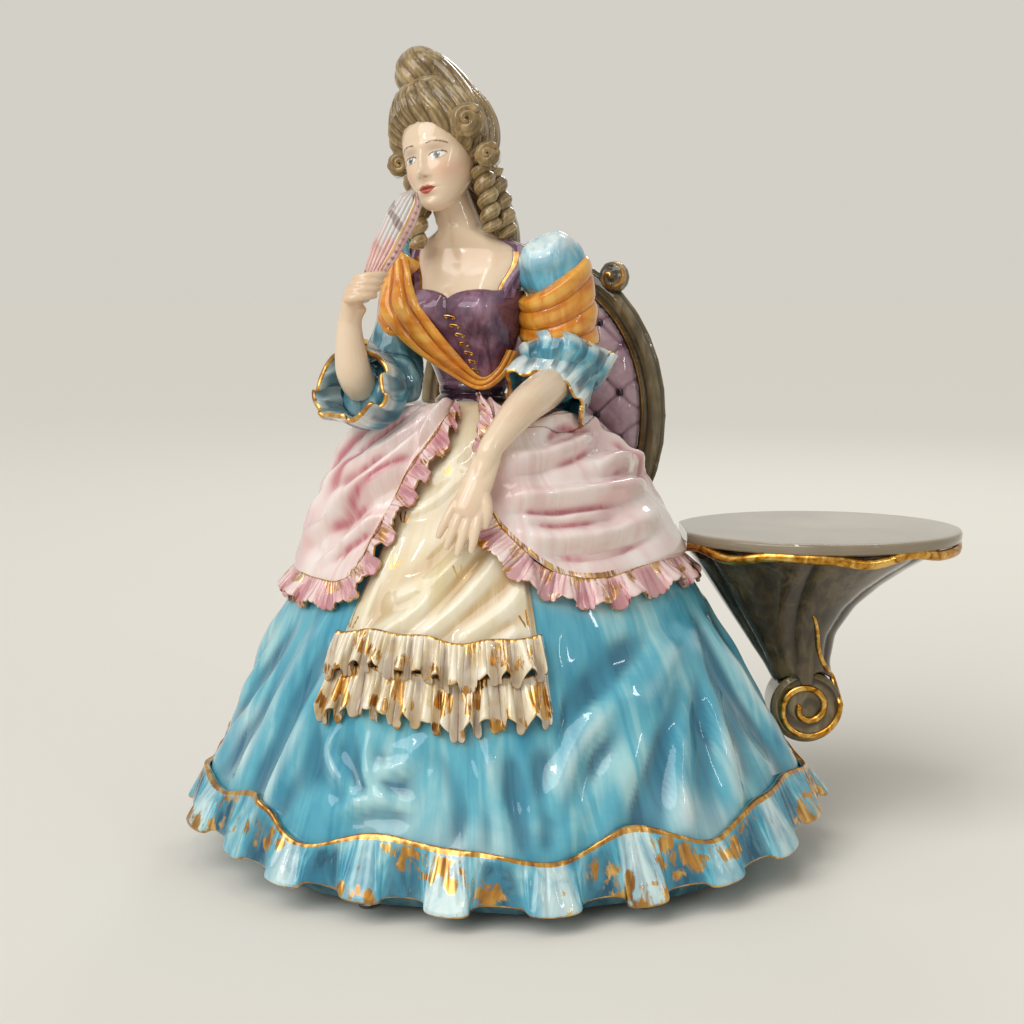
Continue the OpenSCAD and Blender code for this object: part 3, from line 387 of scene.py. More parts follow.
def joined(name, parts):
    """One piece out of several meshes."""
    bm = bmesh.new()
    for part in parts:
        bm.from_mesh(part.data)
    mesh = as_mesh(name, bm)
    for part in parts:
        bpy.data.objects.remove(part)
    return piece(name, mesh)


def settled(obj):
    """Applies the modifiers that shaped the piece."""
    shaped = bpy.data.meshes.new_from_object(obj.evaluated_get(bpy.context.evaluated_depsgraph_get()))
    obj.modifiers.clear()
    obj.data = shaped
    soften(shaped)
    return obj


def clay(obj, pitch, rounds):
    """Fuses the piece's shapes to one skin with cells of the given pitch, and smooths it as a wet sponge does."""
    fuse = obj.modifiers.new("fuse", "REMESH")
    fuse.mode = "VOXEL"
    fuse.voxel_size = pitch * MM
    sponge = obj.modifiers.new("sponge", "SMOOTH")
    sponge.factor = 0.5
    sponge.iterations = rounds
    return settled(obj)


def from_solid(name, node, pitch, rounds):
    """Copy of a solid from the frame, fused and smoothed for finer forming."""
    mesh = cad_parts[node].data.copy()
    mesh.materials.clear()
    weld(mesh)
    return clay(piece(name, mesh), pitch, rounds)


def formed(obj, lift):
    """Moves each corner out by lift(points, normals), which gives millimetres and the marks."""
    mesh = obj.data
    normals = np.zeros(len(mesh.vertices) * 3)
    mesh.vertex_normals.foreach_get("vector", normals)
    normals = normals.reshape(-1, 3)
    p = mm_corners(mesh)
    rise, marks = lift(p, normals)
    set_corners(mesh, p + normals * rise[:, None])
    mark(mesh, marks)
    return obj


def hand_over(obj, material, slot, *nodes):
    """Gives the piece its finish, its place in the model and the solids that it stands for."""
    obj.data.materials.clear()
    obj.data.materials.append(material)
    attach(obj, "root")
    if nodes:
        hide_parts(*nodes)


# Finishes
def srgb(code):
    """Linear colour from an sRGB hex code."""
    shares = [int(code[i:i + 2], 16) / 255 for i in (1, 3, 5)]
    return [v / 12.92 if v <= 0.04045 else ((v + 0.055) / 1.055) ** 2.4 for v in shares] + [1.0]


def add(tree, kind, inputs=None, **settings):
    """Adds a node with its settings; each input is a value or the socket that feeds it."""
    made = tree.nodes.new(kind)
    for key, value in settings.items():
        setattr(made, key, value)
    for key, value in (inputs or {}).items():
        if isinstance(value, bpy.types.NodeSocket):
            tree.links.new(value, made.inputs[key])
        else:
            made.inputs[key].default_value = value
    return made


def blank_finish(name):
    material = bpy.data.materials.new(name)
    material.use_nodes = True
    material.node_tree.nodes.clear()
    return material, material.node_tree


def ramp(tree, fac, stops):
    made = add(tree, "ShaderNodeValToRGB", {"Fac": fac})
    made.color_ramp.elements[0].position = stops[0][0]
    made.color_ramp.elements[0].color = srgb(stops[0][1])
    made.color_ramp.elements[1].position = stops[-1][0]
    made.color_ramp.elements[1].color = srgb(stops[-1][1])
    for position, code in stops[1:-1]:
        made.color_ramp.elements.new(position).color = srgb(code)
    return made.outputs["Color"]


GOLD = "#C08A34"
GOLD_DEEP = "#845521"
GOLD_PALE = "#E6BD6C"
SKIN = "#EBD3B6"
PAPER = "#F1EDE4"
ROOM_LIGHT = 0.42
KEY_LIGHT = 1.75
# The fired colour under the coat, and gold leaf brushed on it
GLAZE_ROUGH = 0.14
GLAZE_SHINE = 0.1
LEAF_ROUGH = 0.3


def noise(tree, vector, scale, detail, distortion=0.0):
    feed = {"Vector": vector, "Scale": scale, "Detail": detail, "Distortion": distortion}
    return add(tree, "ShaderNodeTexNoise", feed).outputs["Fac"]


def cloud(tree, size, detail, distortion=0.0):
    """Noise all round the piece in patches of the given size in millimetres."""
    place = add(tree, "ShaderNodeTexCoord").outputs["Object"]
    return noise(tree, place, 1000 / size, detail, distortion)


def rescaled(tree, value, low, high, start=0.0, end=1.0):
    """The value, taken over from the range start to end to the range low to high."""
    feed = {"Value": value, "From Min": start, "From Max": end, "To Min": low, "To Max": high}
    return add(tree, "ShaderNodeMapRange", feed).outputs["Result"]


def blend(tree, share, under, over):
    feed = {"Factor": share, "A": under, "B": over}
    return add(tree, "ShaderNodeMix", feed, data_type="RGBA").outputs["Result"]


def combine(tree, operation, one, two):
    return add(tree, "ShaderNodeMath", {0: one, 1: two}, operation=operation).outputs["Value"]


def kept(tree, name, output="Fac"):
    """What was kept under the name for each corner."""
    return add(tree, "ShaderNodeAttribute", attribute_name=name).outputs[output]


def glazed(colour, haze):
    """Earthenware colour under a clear coat; haze is how dull the coat is."""
    base = {"Base Color": colour, "Roughness": GLAZE_ROUGH, "Specular IOR Level": GLAZE_SHINE}
    return base | {"Coat Weight": 1.0, "Coat Roughness": haze}


def fired(material, tree, feed):
    """Gives the material the surface that the feed describes."""
    shader = add(tree, "ShaderNodeBsdfPrincipled", feed)
    add(tree, "ShaderNodeOutputMaterial", {"Surface": shader.outputs["BSDF"]})
    return material


def painted_glaze(name, light, mid, dark, pool, brush, patch, on_cloth=True, gilt=True, second=None, haze=0.03):
    """Earthenware painted in thin brushed washes under a clear gloss glaze. The eye sees streaks along the brush,
    cloudy patches, a dark colour in the hollows that is partly glaze pooled there and partly painted shade, a second
    colour where it was brushed on, which on crests is a painted highlight, worn gold lustre and window-like highlights,
    which a haze of the coat softens."""
    material, tree = blank_finish(name)
    if on_cloth:
        spot = add(tree, "ShaderNodeUVMap", uv_map="cloth").outputs["UV"]
        size = (1 / brush[0], 1 / brush[1], 1)
    else:
        spot = add(tree, "ShaderNodeTexCoord").outputs["Object"]
        size = (1000 / brush[0], 1000 / brush[0], 1000 / brush[1])
    along = add(tree, "ShaderNodeMapping", {"Vector": spot, "Scale": size}).outputs["Vector"]
    streak = noise(tree, along, 1.0, 5.0, 0.7)
    both = add(tree, "ShaderNodeMix", {"Factor": 0.5, "A": streak, "B": cloud(tree, patch, 4.0, 0.5)})
    colour = ramp(tree, both.outputs["Result"], [(0.34, dark), (0.5, mid), (0.64, light)])
    thin = rescaled(tree, streak, 0.35, 1.0, 0.3, 0.6)
    for mark_name, code in (("second", second), ("pool", pool)):
        if code is not None:
            share = combine(tree, "MULTIPLY", kept(tree, mark_name), thin)
            colour = blend(tree, share, colour, srgb(code))
    feed = glazed(colour, haze)
    if gilt:
        laid = combine(tree, "ADD", kept(tree, "gold"), noise(tree, along, 2.2, 5.0, 1.2))
        leaf = rescaled(tree, laid, 0.0, 1.0, 0.92, 1.06)
        tone = ramp(tree, streak, [(0.3, GOLD_DEEP), (0.5, GOLD), (0.66, GOLD_PALE)])
        feed["Base Color"] = blend(tree, leaf, colour, tone)
        feed["Metallic"] = leaf
        feed["Roughness"] = rescaled(tree, leaf, GLAZE_ROUGH, LEAF_ROUGH)
    return fired(material, tree, feed)


def gold_lustre(name):
    """Gold lustre fired over glaze: bright metal with the brush's streaks and a few browner thin places."""
    material, tree = blank_finish(name)
    brush = cloud(tree, 5, 4.0, 1.0)
    tone = ramp(tree, brush, [(0.32, GOLD_DEEP), (0.48, GOLD), (0.66, GOLD_PALE)])
    return fired(material, tree, {"Base Color": tone, "Metallic": 1.0, "Roughness": rescaled(tree, brush, 0.34, 0.16)})


def face_glaze(name):
    """Flesh-coloured slip under clear glaze with the features brushed on: warm, even and softly glossy."""
    material, tree = blank_finish(name)
    warm = rescaled(tree, cloud(tree, 22, 3.0), 0.0, 0.14)
    tone = blend(tree, warm, kept(tree, "paint", "Color"), srgb("#D9A47C"))
    return fired(material, tree, glazed(tone, 0.1) | {"Subsurface Weight": 0.06})


def clear_pad_plastic(name):
    """Clear soft plastic of a stick-on pad: see-through with a slightly dull, cloudy moulded skin."""
    material, tree = blank_finish(name)
    dull = rescaled(tree, cloud(tree, 3, 3.0), 0.06, 0.24)
    feed = {"Base Color": srgb("#E9ECEA"), "Roughness": dull, "Transmission Weight": 0.9, "IOR": 1.49}
    return fired(material, tree, feed)


# Each glaze: light, middle and dark wash, colour of hollows and painted shade, brush strokes and patches in millimetres
TURQUOISE = painted_glaze(
    "turquoise brushed glaze", "#A6D6DA", "#62B3C6", "#338FAE", "#1A5F7C", (9, 60), 45, second="#DCEDEA"
)
HEM_BLUE = painted_glaze(
    "turquoise glaze with gold leaf", "#A6D4D8", "#58ABBF", "#2A80A0", "#15536D", (5, 16), 22, second="#DCEBE7"
)
CREAM = painted_glaze("cream brushed glaze", "#EFE7D2", "#E9DEC0", "#DECB9C", "#B98F4A", (7, 50), 35)
GILT_CREAM = painted_glaze("cream glaze with gold leaf", "#F2EADA", "#E8DBBE", "#D3B984", "#7A5540", (3, 10), 14)
PINK = painted_glaze(
    "pale pink brushed glaze", "#F4EBE6", "#EFDDD7", "#E7C9C4", "#BE6B76", (7, 40), 30, second="#CF7C86"
)
ROSE = painted_glaze(
    "rose glaze with gold leaf", "#F0DAD4", "#E3B5B4", "#CC8790", "#9A4A5E", (3, 10), 14, second="#F3E6DE"
)
PLUM = painted_glaze(
    "plum brushed glaze", "#9A7389", "#704B62", "#4C2F42", "#301A2A", (4, 20), 16, False, second="#B493A8"
)
DARK_PLUM = painted_glaze(
    "dark plum glaze", "#5A3F54", "#35202F", "#1E121B", "#150B13", (8, 4), 18, False, second="#87607C"
)
FLESH = painted_glaze(
    "flesh slip under clear glaze", "#EDD6BA", "#EBD3B6", "#E4C5A4", "#C08E68", (30, 30), 30, False, haze=0.13
)
HAIR = painted_glaze(
    "ash brown brushed glaze", "#B89E70", "#8E7549", "#64502E", "#35271A", (3, 20), 14, False, second="#CDB98F"
)
BLUE = painted_glaze(
    "pale blue brushed glaze", "#A9D8E2", "#66B6CE", "#3394B6", "#1A6685", (6, 16), 18, False, second="#E2EFEC"
)
DEEP_TEAL = painted_glaze(
    "deep grey teal glaze", "#86B2BA", "#4B8494", "#2C5B6B", "#17333F", (5, 14), 16, False, second="#A9C6C8"
)
TEAL = painted_glaze(
    "grey teal brushed glaze", "#A6CFD6", "#5CA0B2", "#2B7A96", "#154A5E", (5, 14), 16, second="#E4ECE8"
)
ORANGE = painted_glaze(
    "orange brushed glaze", "#F0A93C", "#E08A22", "#C26D1C", "#7F4416", (5, 22), 16, second="#F5C25C"
)
FAN_PAINT = painted_glaze(
    "pink and grey brushed glaze", "#EBC6BC", "#DFAFA5", "#C48F83", "#6E4A3E", (2, 30), 12, second="#C9C6C1"
)
OLIVE = painted_glaze("olive taupe glaze", "#8B7D5E", "#655739", "#41361F", "#241C10", (6, 30), 24, False)
DARK_OLIVE = painted_glaze("dark olive glaze", "#67583B", "#463923", "#2A2113", "#171008", (5, 40), 26, False)
TAUPE = painted_glaze("grey taupe brushed glaze", "#B3A68F", "#9C8F7A", "#82755F", "#5F523C", (60, 4), 40, False)
MAUVE = painted_glaze("mauve glaze", "#CDB4BB", "#B99BA6", "#9C7C8B", "#6B4059", (8, 8), 20, False)
GILT = gold_lustre("gold lustre")
FACE = face_glaze("painted flesh glaze")
CLEAR = clear_pad_plastic("clear soft plastic")
UNDERSIDE = painted_glaze(
    "thin blue-green glaze", "#5E8C93", "#2C6274", "#1E4A52", "#123138", (12, 12), 30, False, False
)


def section(w, tuck, rim, back):
    """Way over a cloth's section: from its tucked edge, over its face, round its free rim and along its back.
    Gives the share of the cloth's width, the share of its wall from face to back, and the bulge of the rim."""
    face = 1 - rim - back
    down = np.interp(w, [0, tuck, face, 1 - back, 1], [0, 0, 1, 1, 0.4])
    round_rim = np.clip((w - face) / rim, 0, 1)
    wall = np.where(w < tuck, 1 - w / tuck, (1 - np.cos(math.pi * round_rim)) / 2)
    return down, wall, np.sin(math.pi * round_rim)


def side_ease(s, width):
    return ease(np.minimum(s, 1 - s) / width)


FOLD_STEPS = 13


def near_fold(p, line, place):
    """Distance of each point from a fold's line, the share along it, and how full the fold is there."""
    gap, share = near_line(p, place(curve(line, np.linspace(0, 1, FOLD_STEPS))))
    return gap, share, np.sqrt(np.sin(math.pi * np.clip(share, 0.03, 0.97)))


def folds(p, lines, place):
    """Rise of folds drawn over a surface, each as its line, its width and its height, with a hollow at both sides."""
    rise = np.zeros(len(p))
    for line, width, height in lines:
        gap, _, fade = near_fold(p, line, place)
        rise += height * fade * (hump(gap / width) - 0.55 * hump(gap / width / 2.1))
    return rise


def creases(p, lines, place):
    """Sharp hollows beside folds, and how near each point lies to the stroke of colour that is brushed along them."""
    depth = np.zeros(len(p))
    stroke = np.zeros(len(p))
    for i, (line, width, height) in enumerate(lines):
        beside = np.array(line, float) + [0, 0.006 * width]
        gap, share, fade = near_fold(p, beside, place)
        depth += 0.4 * height * fade * np.exp(-gap / (0.45 * width))
        part = ease((share - 0.1 - 0.12 * (i % 3)) / 0.12) * ease((0.75 + 0.1 * (i % 2) - share) / 0.15)
        stroke = np.maximum(stroke, part * hump(gap / 1.3))
    return depth, stroke


# Folds of the skirt in front as lines of [angle, share out], each with its width and height
SKIRT_FOLDS = [
    ([(280, 0.9), (288, 0.8), (321, 0.65)], 9, 10),
    ([(279, 0.95), (289, 0.86), (303, 0.76), (326, 0.66)], 7, 7),
    ([(288, 0.94), (295, 0.855), (312, 0.745), (331, 0.66)], 9, 10),
    ([(304, 0.94), (311, 0.82), (330, 0.68)], 8, 8),
    ([(343, 0.66), (346, 0.8), (354, 0.93)], 9, 9),
    ([(333, 0.66), (325, 0.8), (320, 0.93)], 8, 8),
    ([(259, 0.78), (265, 0.865), (264, 0.94)], 5, 5),
    ([(267, 0.78), (271, 0.94)], 6, 6),
    ([(275, 0.78), (276, 0.94)], 5, 4.5),
    ([(236, 0.76), (233, 0.83), (242, 0.88)], 4.5, 6),
    ([(244, 0.845), (250, 0.83), (256, 0.785)], 4.5, 5.5),
    ([(237, 0.905), (244, 0.88), (252, 0.88)], 4, 5),
    ([(241, 0.78), (243, 0.85), (248, 0.875)], 3.5, 4.5),
    ([(247, 0.815), (253, 0.795)], 3.5, 4),
    ([(221, 0.62), (212, 0.765), (203, 0.93)], 8, 9),
    ([(213, 0.62), (200, 0.8), (186, 0.95)], 8, 9),
    ([(227, 0.72), (221, 0.86), (219, 0.945)], 6, 6.5),
    ([(205, 0.62), (190, 0.78), (176, 0.94)], 8, 8.5),
    ([(198, 0.62), (182, 0.75), (167, 0.94)], 8, 8),
]
BACK_FOLDS = [
    ([(a, 0.6), (a + 4 * math.cos(a), 0.78), (a + 7 * math.sin(3 * a), 0.94)], 8, 6.5 + 2 * math.sin(5 * a))
    for a in range(2, 165, 13)
]


# A point inside the skirt, from which the faces of its layers look outwards
SKIRT_CORE = (0, 0, 60)


def skirt_line(line):
    return skirt_pt(line[:, 0], line[:, 1])


def skirt_rise(a, u, p):
    """Height of the skirt's folds where they show, flat under the apron and at the hem."""
    under = ease((a - 222) / 8) * ease((289 - a) / 8)
    shown = ease((u - mix(0.62, 0.775, under)) / 0.05) * mix(0.25, 1, ease((0.985 - u) / 0.07))
    return (folds(p, SKIRT_FOLDS + BACK_FOLDS, skirt_line) + 0.6 * wobble(p, 24, 3)) * shown, shown


def make_skirt():
    def place(s, w):
        a = BACK + 360 * s
        u = np.interp(w, [0, 0.94, 0.965, 1], [0.03, 0.992, 0.992, 0.95])
        p = on_skirt(a, u, -5 * np.interp(w, [0.94, 0.98], [0, 1]))
        rise, shown = skirt_rise(a, u, p)
        # Painted shade in the fold valleys and a painted highlight on the fold crests, with paler patches at random
        light = 0.85 * ease(rise / 3 - 0.25) + 0.5 * ease(wobble(p, 70, 5) - 0.35)
        marks = {"pool": 0.9 * ease(-0.15 - rise / 2.2) * shown, "second": light}
        return p + skirt_out(a, u) * rise[:, None], marks

    obj = grid("skirt_cloth", 480, 140, place, (760, 250), SKIRT_CORE)
    hand_over(obj, TURQUOISE, "turquoise_glaze", "skirt")


def uneven_waves(turn, waves, seed):
    """Waves of uneven width and height over the turn in degrees: the share from 0 in a hollow to 1 on a crest, and
    the sideways sway that bends each wave to a loop with a narrow neck."""
    draw = np.random.default_rng(seed)
    drift = sum(draw.uniform(12, 34) * sind(k * turn + draw.uniform(0, 360)) for k in (2, 3, 5, 7))
    height = 0.78 + 0.22 * sind(4 * turn + draw.uniform(0, 360)) * sind(7 * turn + draw.uniform(0, 360))
    phase = waves * turn + drift
    return (0.5 + 0.5 * cosd(phase)) * height, sind(2 * phase) * height


def make_hem_flounce():
    waves = 22

    def place(s, w):
        turn = BACK + 360 * s
        down, wall, lip = section(w, 0.06, 0.12, 0.14)
        crest, bend = uneven_waves(turn, waves, 11)
        a = turn + 30 / waves * bend * ease(down)
        pleat = strands(4.5 * waves * turn + 60 * sind(5 * turn))
        top = out(SKIRT_H - 26) + 0.012 * cosd(9 * turn + 60) + 0.007 * cosd(14 * turn + 10)
        u = mix(top, 0.988 + 0.016 * crest, down) + 0.004 * lip
        gathers = 1.1 * (pleat - 0.6) * np.sin(math.pi * np.clip(down, 0, 1))
        level = np.minimum(u, top + 0.01)
        rise, _ = skirt_rise(a, level, skirt_pt(a, level))
        ride = np.maximum(rise, -1) * mix(1, 0.3, ease(down * 1.3))
        d = SLIP + ride + 6.2 * crest * down**1.2 + gathers + 2.9 * (1 - wall)
        p = on_skirt(a, u, d)
        leaf = 0.42 * ease(wobble(p, 34, 21) + 0.4) + 0.32 * ease(wobble(p, 11, 23) + 0.3)
        line = ((down < 0.09) & (wall < 0.9)) | (lip > 0.55)
        # Painted shade between the waves, between the pleats and on the flounce's back; painted highlight on the crests
        pool = ease((0.3 - crest) / 0.3) * ease(down / 0.3) + 0.35 * ease((0.4 - pleat) / 0.4) + 0.8 * (wall > 0.6)
        light = 0.8 * ease((crest - 0.5) / 0.3) * (wall < 0.5)
        gilt = np.maximum(leaf * ease(down / 0.2) * (wall < 0.5), line)
        return p, {"pool": pool, "second": light, "gold": gilt}

    obj = grid("hem_flounce_cloth", 1100, 36, place, (860, 34), (0, 0, 30))
    hand_over(obj, HEM_BLUE, "gilt_turquoise_glaze", "hem_flounce")


# The layers on the skirt start this far below the waist
TOP_DROP = 0.35
APRON_TOP = out(TOP_DROP)
APRON_END = out(APRON_DROP)
# Angle of the apron's edge at the lady's left
APRON_LEFT = 281
APRON_FOLDS = [
    ([(238, 0.66), (252, 0.59), (266, 0.47)], 5, 4.8),
    ([(250, 0.65), (262, 0.585), (275, 0.49)], 5, 4.8),
    ([(263, 0.64), (274, 0.595), (281, 0.55)], 4.5, 4.2),
    ([(243, 0.59), (255, 0.54), (268, 0.47)], 4.5, 3.8),
    ([(229, 0.67), (231, 0.59), (234, 0.47)], 4, 3.6),
    ([(234, 0.67), (236, 0.58), (240, 0.46)], 4, 3.2),
    ([(238, 0.43), (250, 0.39), (262, 0.31)], 4.5, 3.2),
    ([(244, 0.34), (253, 0.31), (263, 0.24)], 4, 2.6),
    ([(270, 0.66), (277, 0.63)], 4, 3),
]
# Small three-stroke marks on the apron, as [angle, share out]
APRON_MARKS = [(279, 0.612), (241, 0.52), (231.5, 0.63), (241, 0.43), (255, 0.315), (262, 0.53), (272, 0.4)]


def apron_right(u):
    """Angle of the apron's edge at the lady's right."""
    return 248 - 28 * u


def under_apron(a, u, soft=3):
    """Room that the apron takes under what lies over it, let down over soft degrees at the lady's left of it."""
    room = 3.6 * ease((a - apron_right(u) + 3) / 3) * ease((APRON_LEFT + soft - a) / soft)
    return room * ease((u - APRON_TOP + 0.03) / 0.03)


# Width of a frill's fine pleats, and cells along a frill
PLEAT_W = 3.4
FRILL_COLS = 620


def make_apron():
    def place(s, w):
        down, wall, lip = section(w, 0.03, 0.06, 0.08)
        u = mix(APRON_TOP, APRON_END, down) + 0.004 * lip
        a = mix(apron_right(u), APRON_LEFT, s)
        edge = mix(0.1, 1, side_ease(s, 0.04))
        p = on_skirt(a, u, SLIP)
        rise = folds(p, APRON_FOLDS, skirt_line)
        d = (APRON_T * 0.82 + rise * 0.75) * edge * (1 - wall)
        stroke = np.full(len(p), 9.0)
        for mark_a, mark_u in APRON_MARKS:
            for lean in (-1.2, 0, 1.2):
                foot = (mark_a + lean * 0.7, mark_u + 0.012)
                tip = (mark_a + lean * 1.7, mark_u - 0.012 + 0.006 * abs(lean))
                gap, _ = near_line(p, skirt_line(np.linspace(foot, tip, 9)))
                stroke = np.minimum(stroke, gap)
        # Painted shade in the fold hollows, along both side edges and towards the waist
        pool = 0.8 * ease(0.05 - rise / 2) + 0.4 * (1 - side_ease(s, 0.05))
        pool = pool + 0.35 * ease((0.3 - u) / 0.2)
        return on_skirt(a, u, SLIP + d), {"pool": pool, "gold": 0.8 * (stroke < 1.0)}

    obj = grid("apron_cloth", 160, 190, place, (100, 130), SKIRT_CORE)
    hand_over(obj, CREAM, "cream_glaze", "apron")


def frill(name, at, waves, seed, span, room, leaf, depth, lift):
    """Gathered frill: at(s, w) gives its angle and share out, and room(a, u) what it lies on. Its free edge swings
    out on the crests and arches up there, so that the hollow behind it shows; fine pleats run down its face."""

    def place(s, w):
        turn = 360 * s
        down, wall, lip = section(w, 0.05, 0.16, 0.2)
        crest, bend = uneven_waves(turn, waves, seed)
        pleat = strands(span[0] / PLEAT_W * 180 * s + 60 * sind(3 * turn) + 45 * sind(7 * turn + seed))
        edge = mix(0.12, 1, side_ease(s, 0.02))
        sway = 0.1 / waves * bend * ease(down) * side_ease(s, 0.05)
        reach = down * (1 - lift * crest - 0.08 * (1 - pleat) * down)
        a, u = at(np.clip(s + sway, 0, 1), 0.04 + 0.96 * reach + 0.05 * lip)
        gathers = (pleat - 0.6) * np.sin(math.pi * np.clip(0.08 + 0.86 * down, 0, 1))
        d = SLIP + room(a, u) + (FRILL_T * (1 - wall) + depth * crest * mix(0.12, 1, down**1.3) + gathers) * edge
        p = on_skirt(a, u, np.maximum(d, SLIP))
        gilt = leaf * ease(wobble(p, 15, seed + 5) + 0.4) * (wall < 0.5)
        gilt = np.maximum(gilt, ((down < 0.05) & (wall < 0.9)) | (lip > 0.8))
        gilt = np.maximum(gilt, 0.5 * leaf * (wall > 0.6))
        # Painted shade between the waves and pleats and on the frill's back; painted highlight on the crests
        dark = 0.6 * ease((0.25 - crest) / 0.25) + 0.6 * hollow(pleat, 0.35)
        pool = dark * ease(down / 0.2) * (wall < 0.5) + 0.8 * (wall > 0.6)
        light = 0.8 * ease((crest - 0.4) / 0.4) * pleat * (wall < 0.5)
        return p, {"pool": pool, "second": light, "gold": gilt}

    return grid(name, FRILL_COLS, 30, place, span, SKIRT_CORE)


def make_apron_frills():
    lower_top = out(113)
    for name, node, drop, length, waves, seed, leaf in (
        ("apron_frill_upper_cloth", "apron_frill_upper", 100, 21, 11, 31, 0.52),
        ("apron_frill_lower_cloth", "apron_frill_lower", 116, 25, 12, 37, 0.6),
    ):
        def at(s, w, drop=drop, length=length):
            sag = 2.5 * sind(540 * s + drop) + 1.5 * sind(1300 * s)
            return mix(228, 282, s), mix(out(drop + 0.5 * sag), out(drop + length + sag), w)

        def room(a, u, drop=drop):
            over = under_apron(a, u) * (1 - ease((u - APRON_END) / 0.03))
            return over + 2.2 * ease((u - lower_top) / 0.02) * (drop < 110)

        obj = frill(name, at, waves, seed, (120, 24), room, leaf, 7.5, 0.3)
        hand_over(obj, GILT_CREAM, "gilt_cream_glaze", node)


# Low edges of the overskirt's halves as [angle, drop below the waist]; right is the lady's right
RIGHT_EDGE = np.array([
    [90.15, 1], [140, 1], [180, 1], [211, 1], [225, 0.95],
    [231, 0.69], [238, 0.38], [248, 0.12], [250, 0.02],
]) * [1, OVER_DROP]
LEFT_EDGE = np.array([
    [282, 0.02], [281, 0.12], [276, 0.28], [272, 0.52], [278, 0.71], [289, 0.87],
    [303, 0.93], [327, 0.9], [360, 0.95], [400, 1], [449.85, 1],
]) * [1, OVER_DROP]
RIGHT_TOP = np.array([[min(a, 246), TOP_DROP] for a, _ in RIGHT_EDGE])
LEFT_TOP = np.array([[max(a, 282 + 1.2 * i), TOP_DROP] for i, (a, _) in enumerate(LEFT_EDGE)])
OVER_U0 = out(TOP_DROP)
OVER_U1 = out(OVER_DROP)
RIGHT_FOLDS = [
    ([(230, 0.1), (206, 0.3), (190, 0.5)], 6, 7),
    ([(245, 0.2), (227, 0.335), (207, 0.515)], 5, 7),
    ([(240, 0.3), (219, 0.415), (195, 0.52)], 5, 7),
    ([(215, 0.12), (190, 0.28), (172, 0.45)], 6, 7),
    ([(234, 0.42), (222, 0.48), (208, 0.56)], 4, 5),
    ([(238, 0.16), (216, 0.3), (196, 0.4)], 4, 5),
]
LEFT_FOLDS = [
    ([(278, 0.395), (303, 0.395), (345, 0.4)], 4.5, 7),
    ([(282, 0.47), (304, 0.48), (340, 0.465)], 5.5, 7.5),
    ([(280, 0.325), (309, 0.29), (345, 0.25)], 4.5, 6.5),
    ([(299, 0.24), (320, 0.2), (352, 0.24)], 4.5, 6),
    ([(318, 0.34), (340, 0.34), (365, 0.38)], 4.5, 6.5),
    ([(340, 0.18), (352, 0.3), (362, 0.42)], 5, 6),
    ([(284, 0.43), (300, 0.435), (322, 0.43)], 2.6, 4),
    ([(296, 0.12), (312, 0.15), (335, 0.12)], 3.5, 4.5),
]
OVER_BACK_FOLDS = [
    ([(a, 0.14), (a + 9 * math.sin(2 * a), 0.32), (a + 16 * math.cos(a), 0.53)], 6, 4.4)
    for a in (5, 24, 45, 66, 84, 100, 121, 142, 160, 178)
]


def over_out(a, u):
    w = np.clip((u - OVER_U0) / (OVER_U1 - OVER_U0), 0, 1)
    belly = np.sin(math.pi * w)
    return 3.5 + 9 * belly**0.8 + 1.2 * belly * cosd(720 * w + 4 * a)


def make_overskirts():
    for name, node, edge, top, lines, cols, from_apron in (
        ("overskirt_right_cloth", "overskirt_right", RIGHT_EDGE, RIGHT_TOP, RIGHT_FOLDS, 290, lambda s: 1 - s),
        ("overskirt_left_cloth", "overskirt_left", LEFT_EDGE, LEFT_TOP, LEFT_FOLDS, 320, lambda s: s),
    ):
        def place(s, w, edge=edge, top=top, lines=lines + OVER_BACK_FOLDS, from_apron=from_apron):
            down, wall, lip = section(w, 0.03, 0.08, 0.1)
            from_a, from_drop = curve(top, s).T
            to_a, to_drop = curve(edge, s).T
            a = mix(from_a, to_a, down)
            u = mix(out(from_drop), out(np.maximum(to_drop, from_drop)), down) + 0.006 * lip
            around = np.mod(a, 360)
            ends = ease(6 * from_apron(s)) * ease(30 * (1 - from_apron(s)))
            # The lower edge lies flat in front and stays full at the sides, where the console rests on it
            front = ease((70 - np.abs(around - 265)) / 20)
            thin = mix(1, mix(0.3, 1, ease((1 - down) / 0.4)), front) * mix(0.08, 1, ends)
            thin = thin * mix(0.15, 1, ease(down / 0.3))
            full = over_out(a, u) * thin
            flat = skirt_pt(a, u)
            depth, stroke = creases(flat, lines, skirt_line)
            shown = ease(down / 0.15) * ease((1 - down) / 0.1 + 0.1) * side_ease(s, 0.05)
            rise = (1.25 * folds(flat, lines, skirt_line) - depth + 0.4 * wobble(flat, 16, 41)) * shown
            d = SLIP + (under_apron(a, u, 14) + (full + rise) * mix(1, 0.1, wall)) * ease(u / 0.12)
            line = (down > 0.985) * (wall < 0.3) * ease((around - 222) / 4) * ease((318 - around) / 12)
            pool = 0.8 * stroke**2 * shown
            blush = 0.3 * ease(wobble(flat, 44, 43)) + 0.95 * stroke * shown
            return on_skirt(a, u, d), {"pool": pool, "second": blush, "gold": 0.52 * line}

        obj = grid(name, cols, 190, place, (300, 110), SKIRT_CORE)
        hand_over(obj, PINK, "pink_glaze", node)


def frill_edge(edge, width):
    """The frill's free edge, set off square to the overskirt's edge."""
    before = edge[np.maximum(0, np.arange(len(edge)) - 1)]
    after = edge[np.minimum(len(edge) - 1, np.arange(len(edge)) + 1)]
    run = (after - before) * [1.1, 1]
    away = unit(np.stack([-run[:, 1], run[:, 0]], 1))
    return edge + away * [width / 1.6, width]


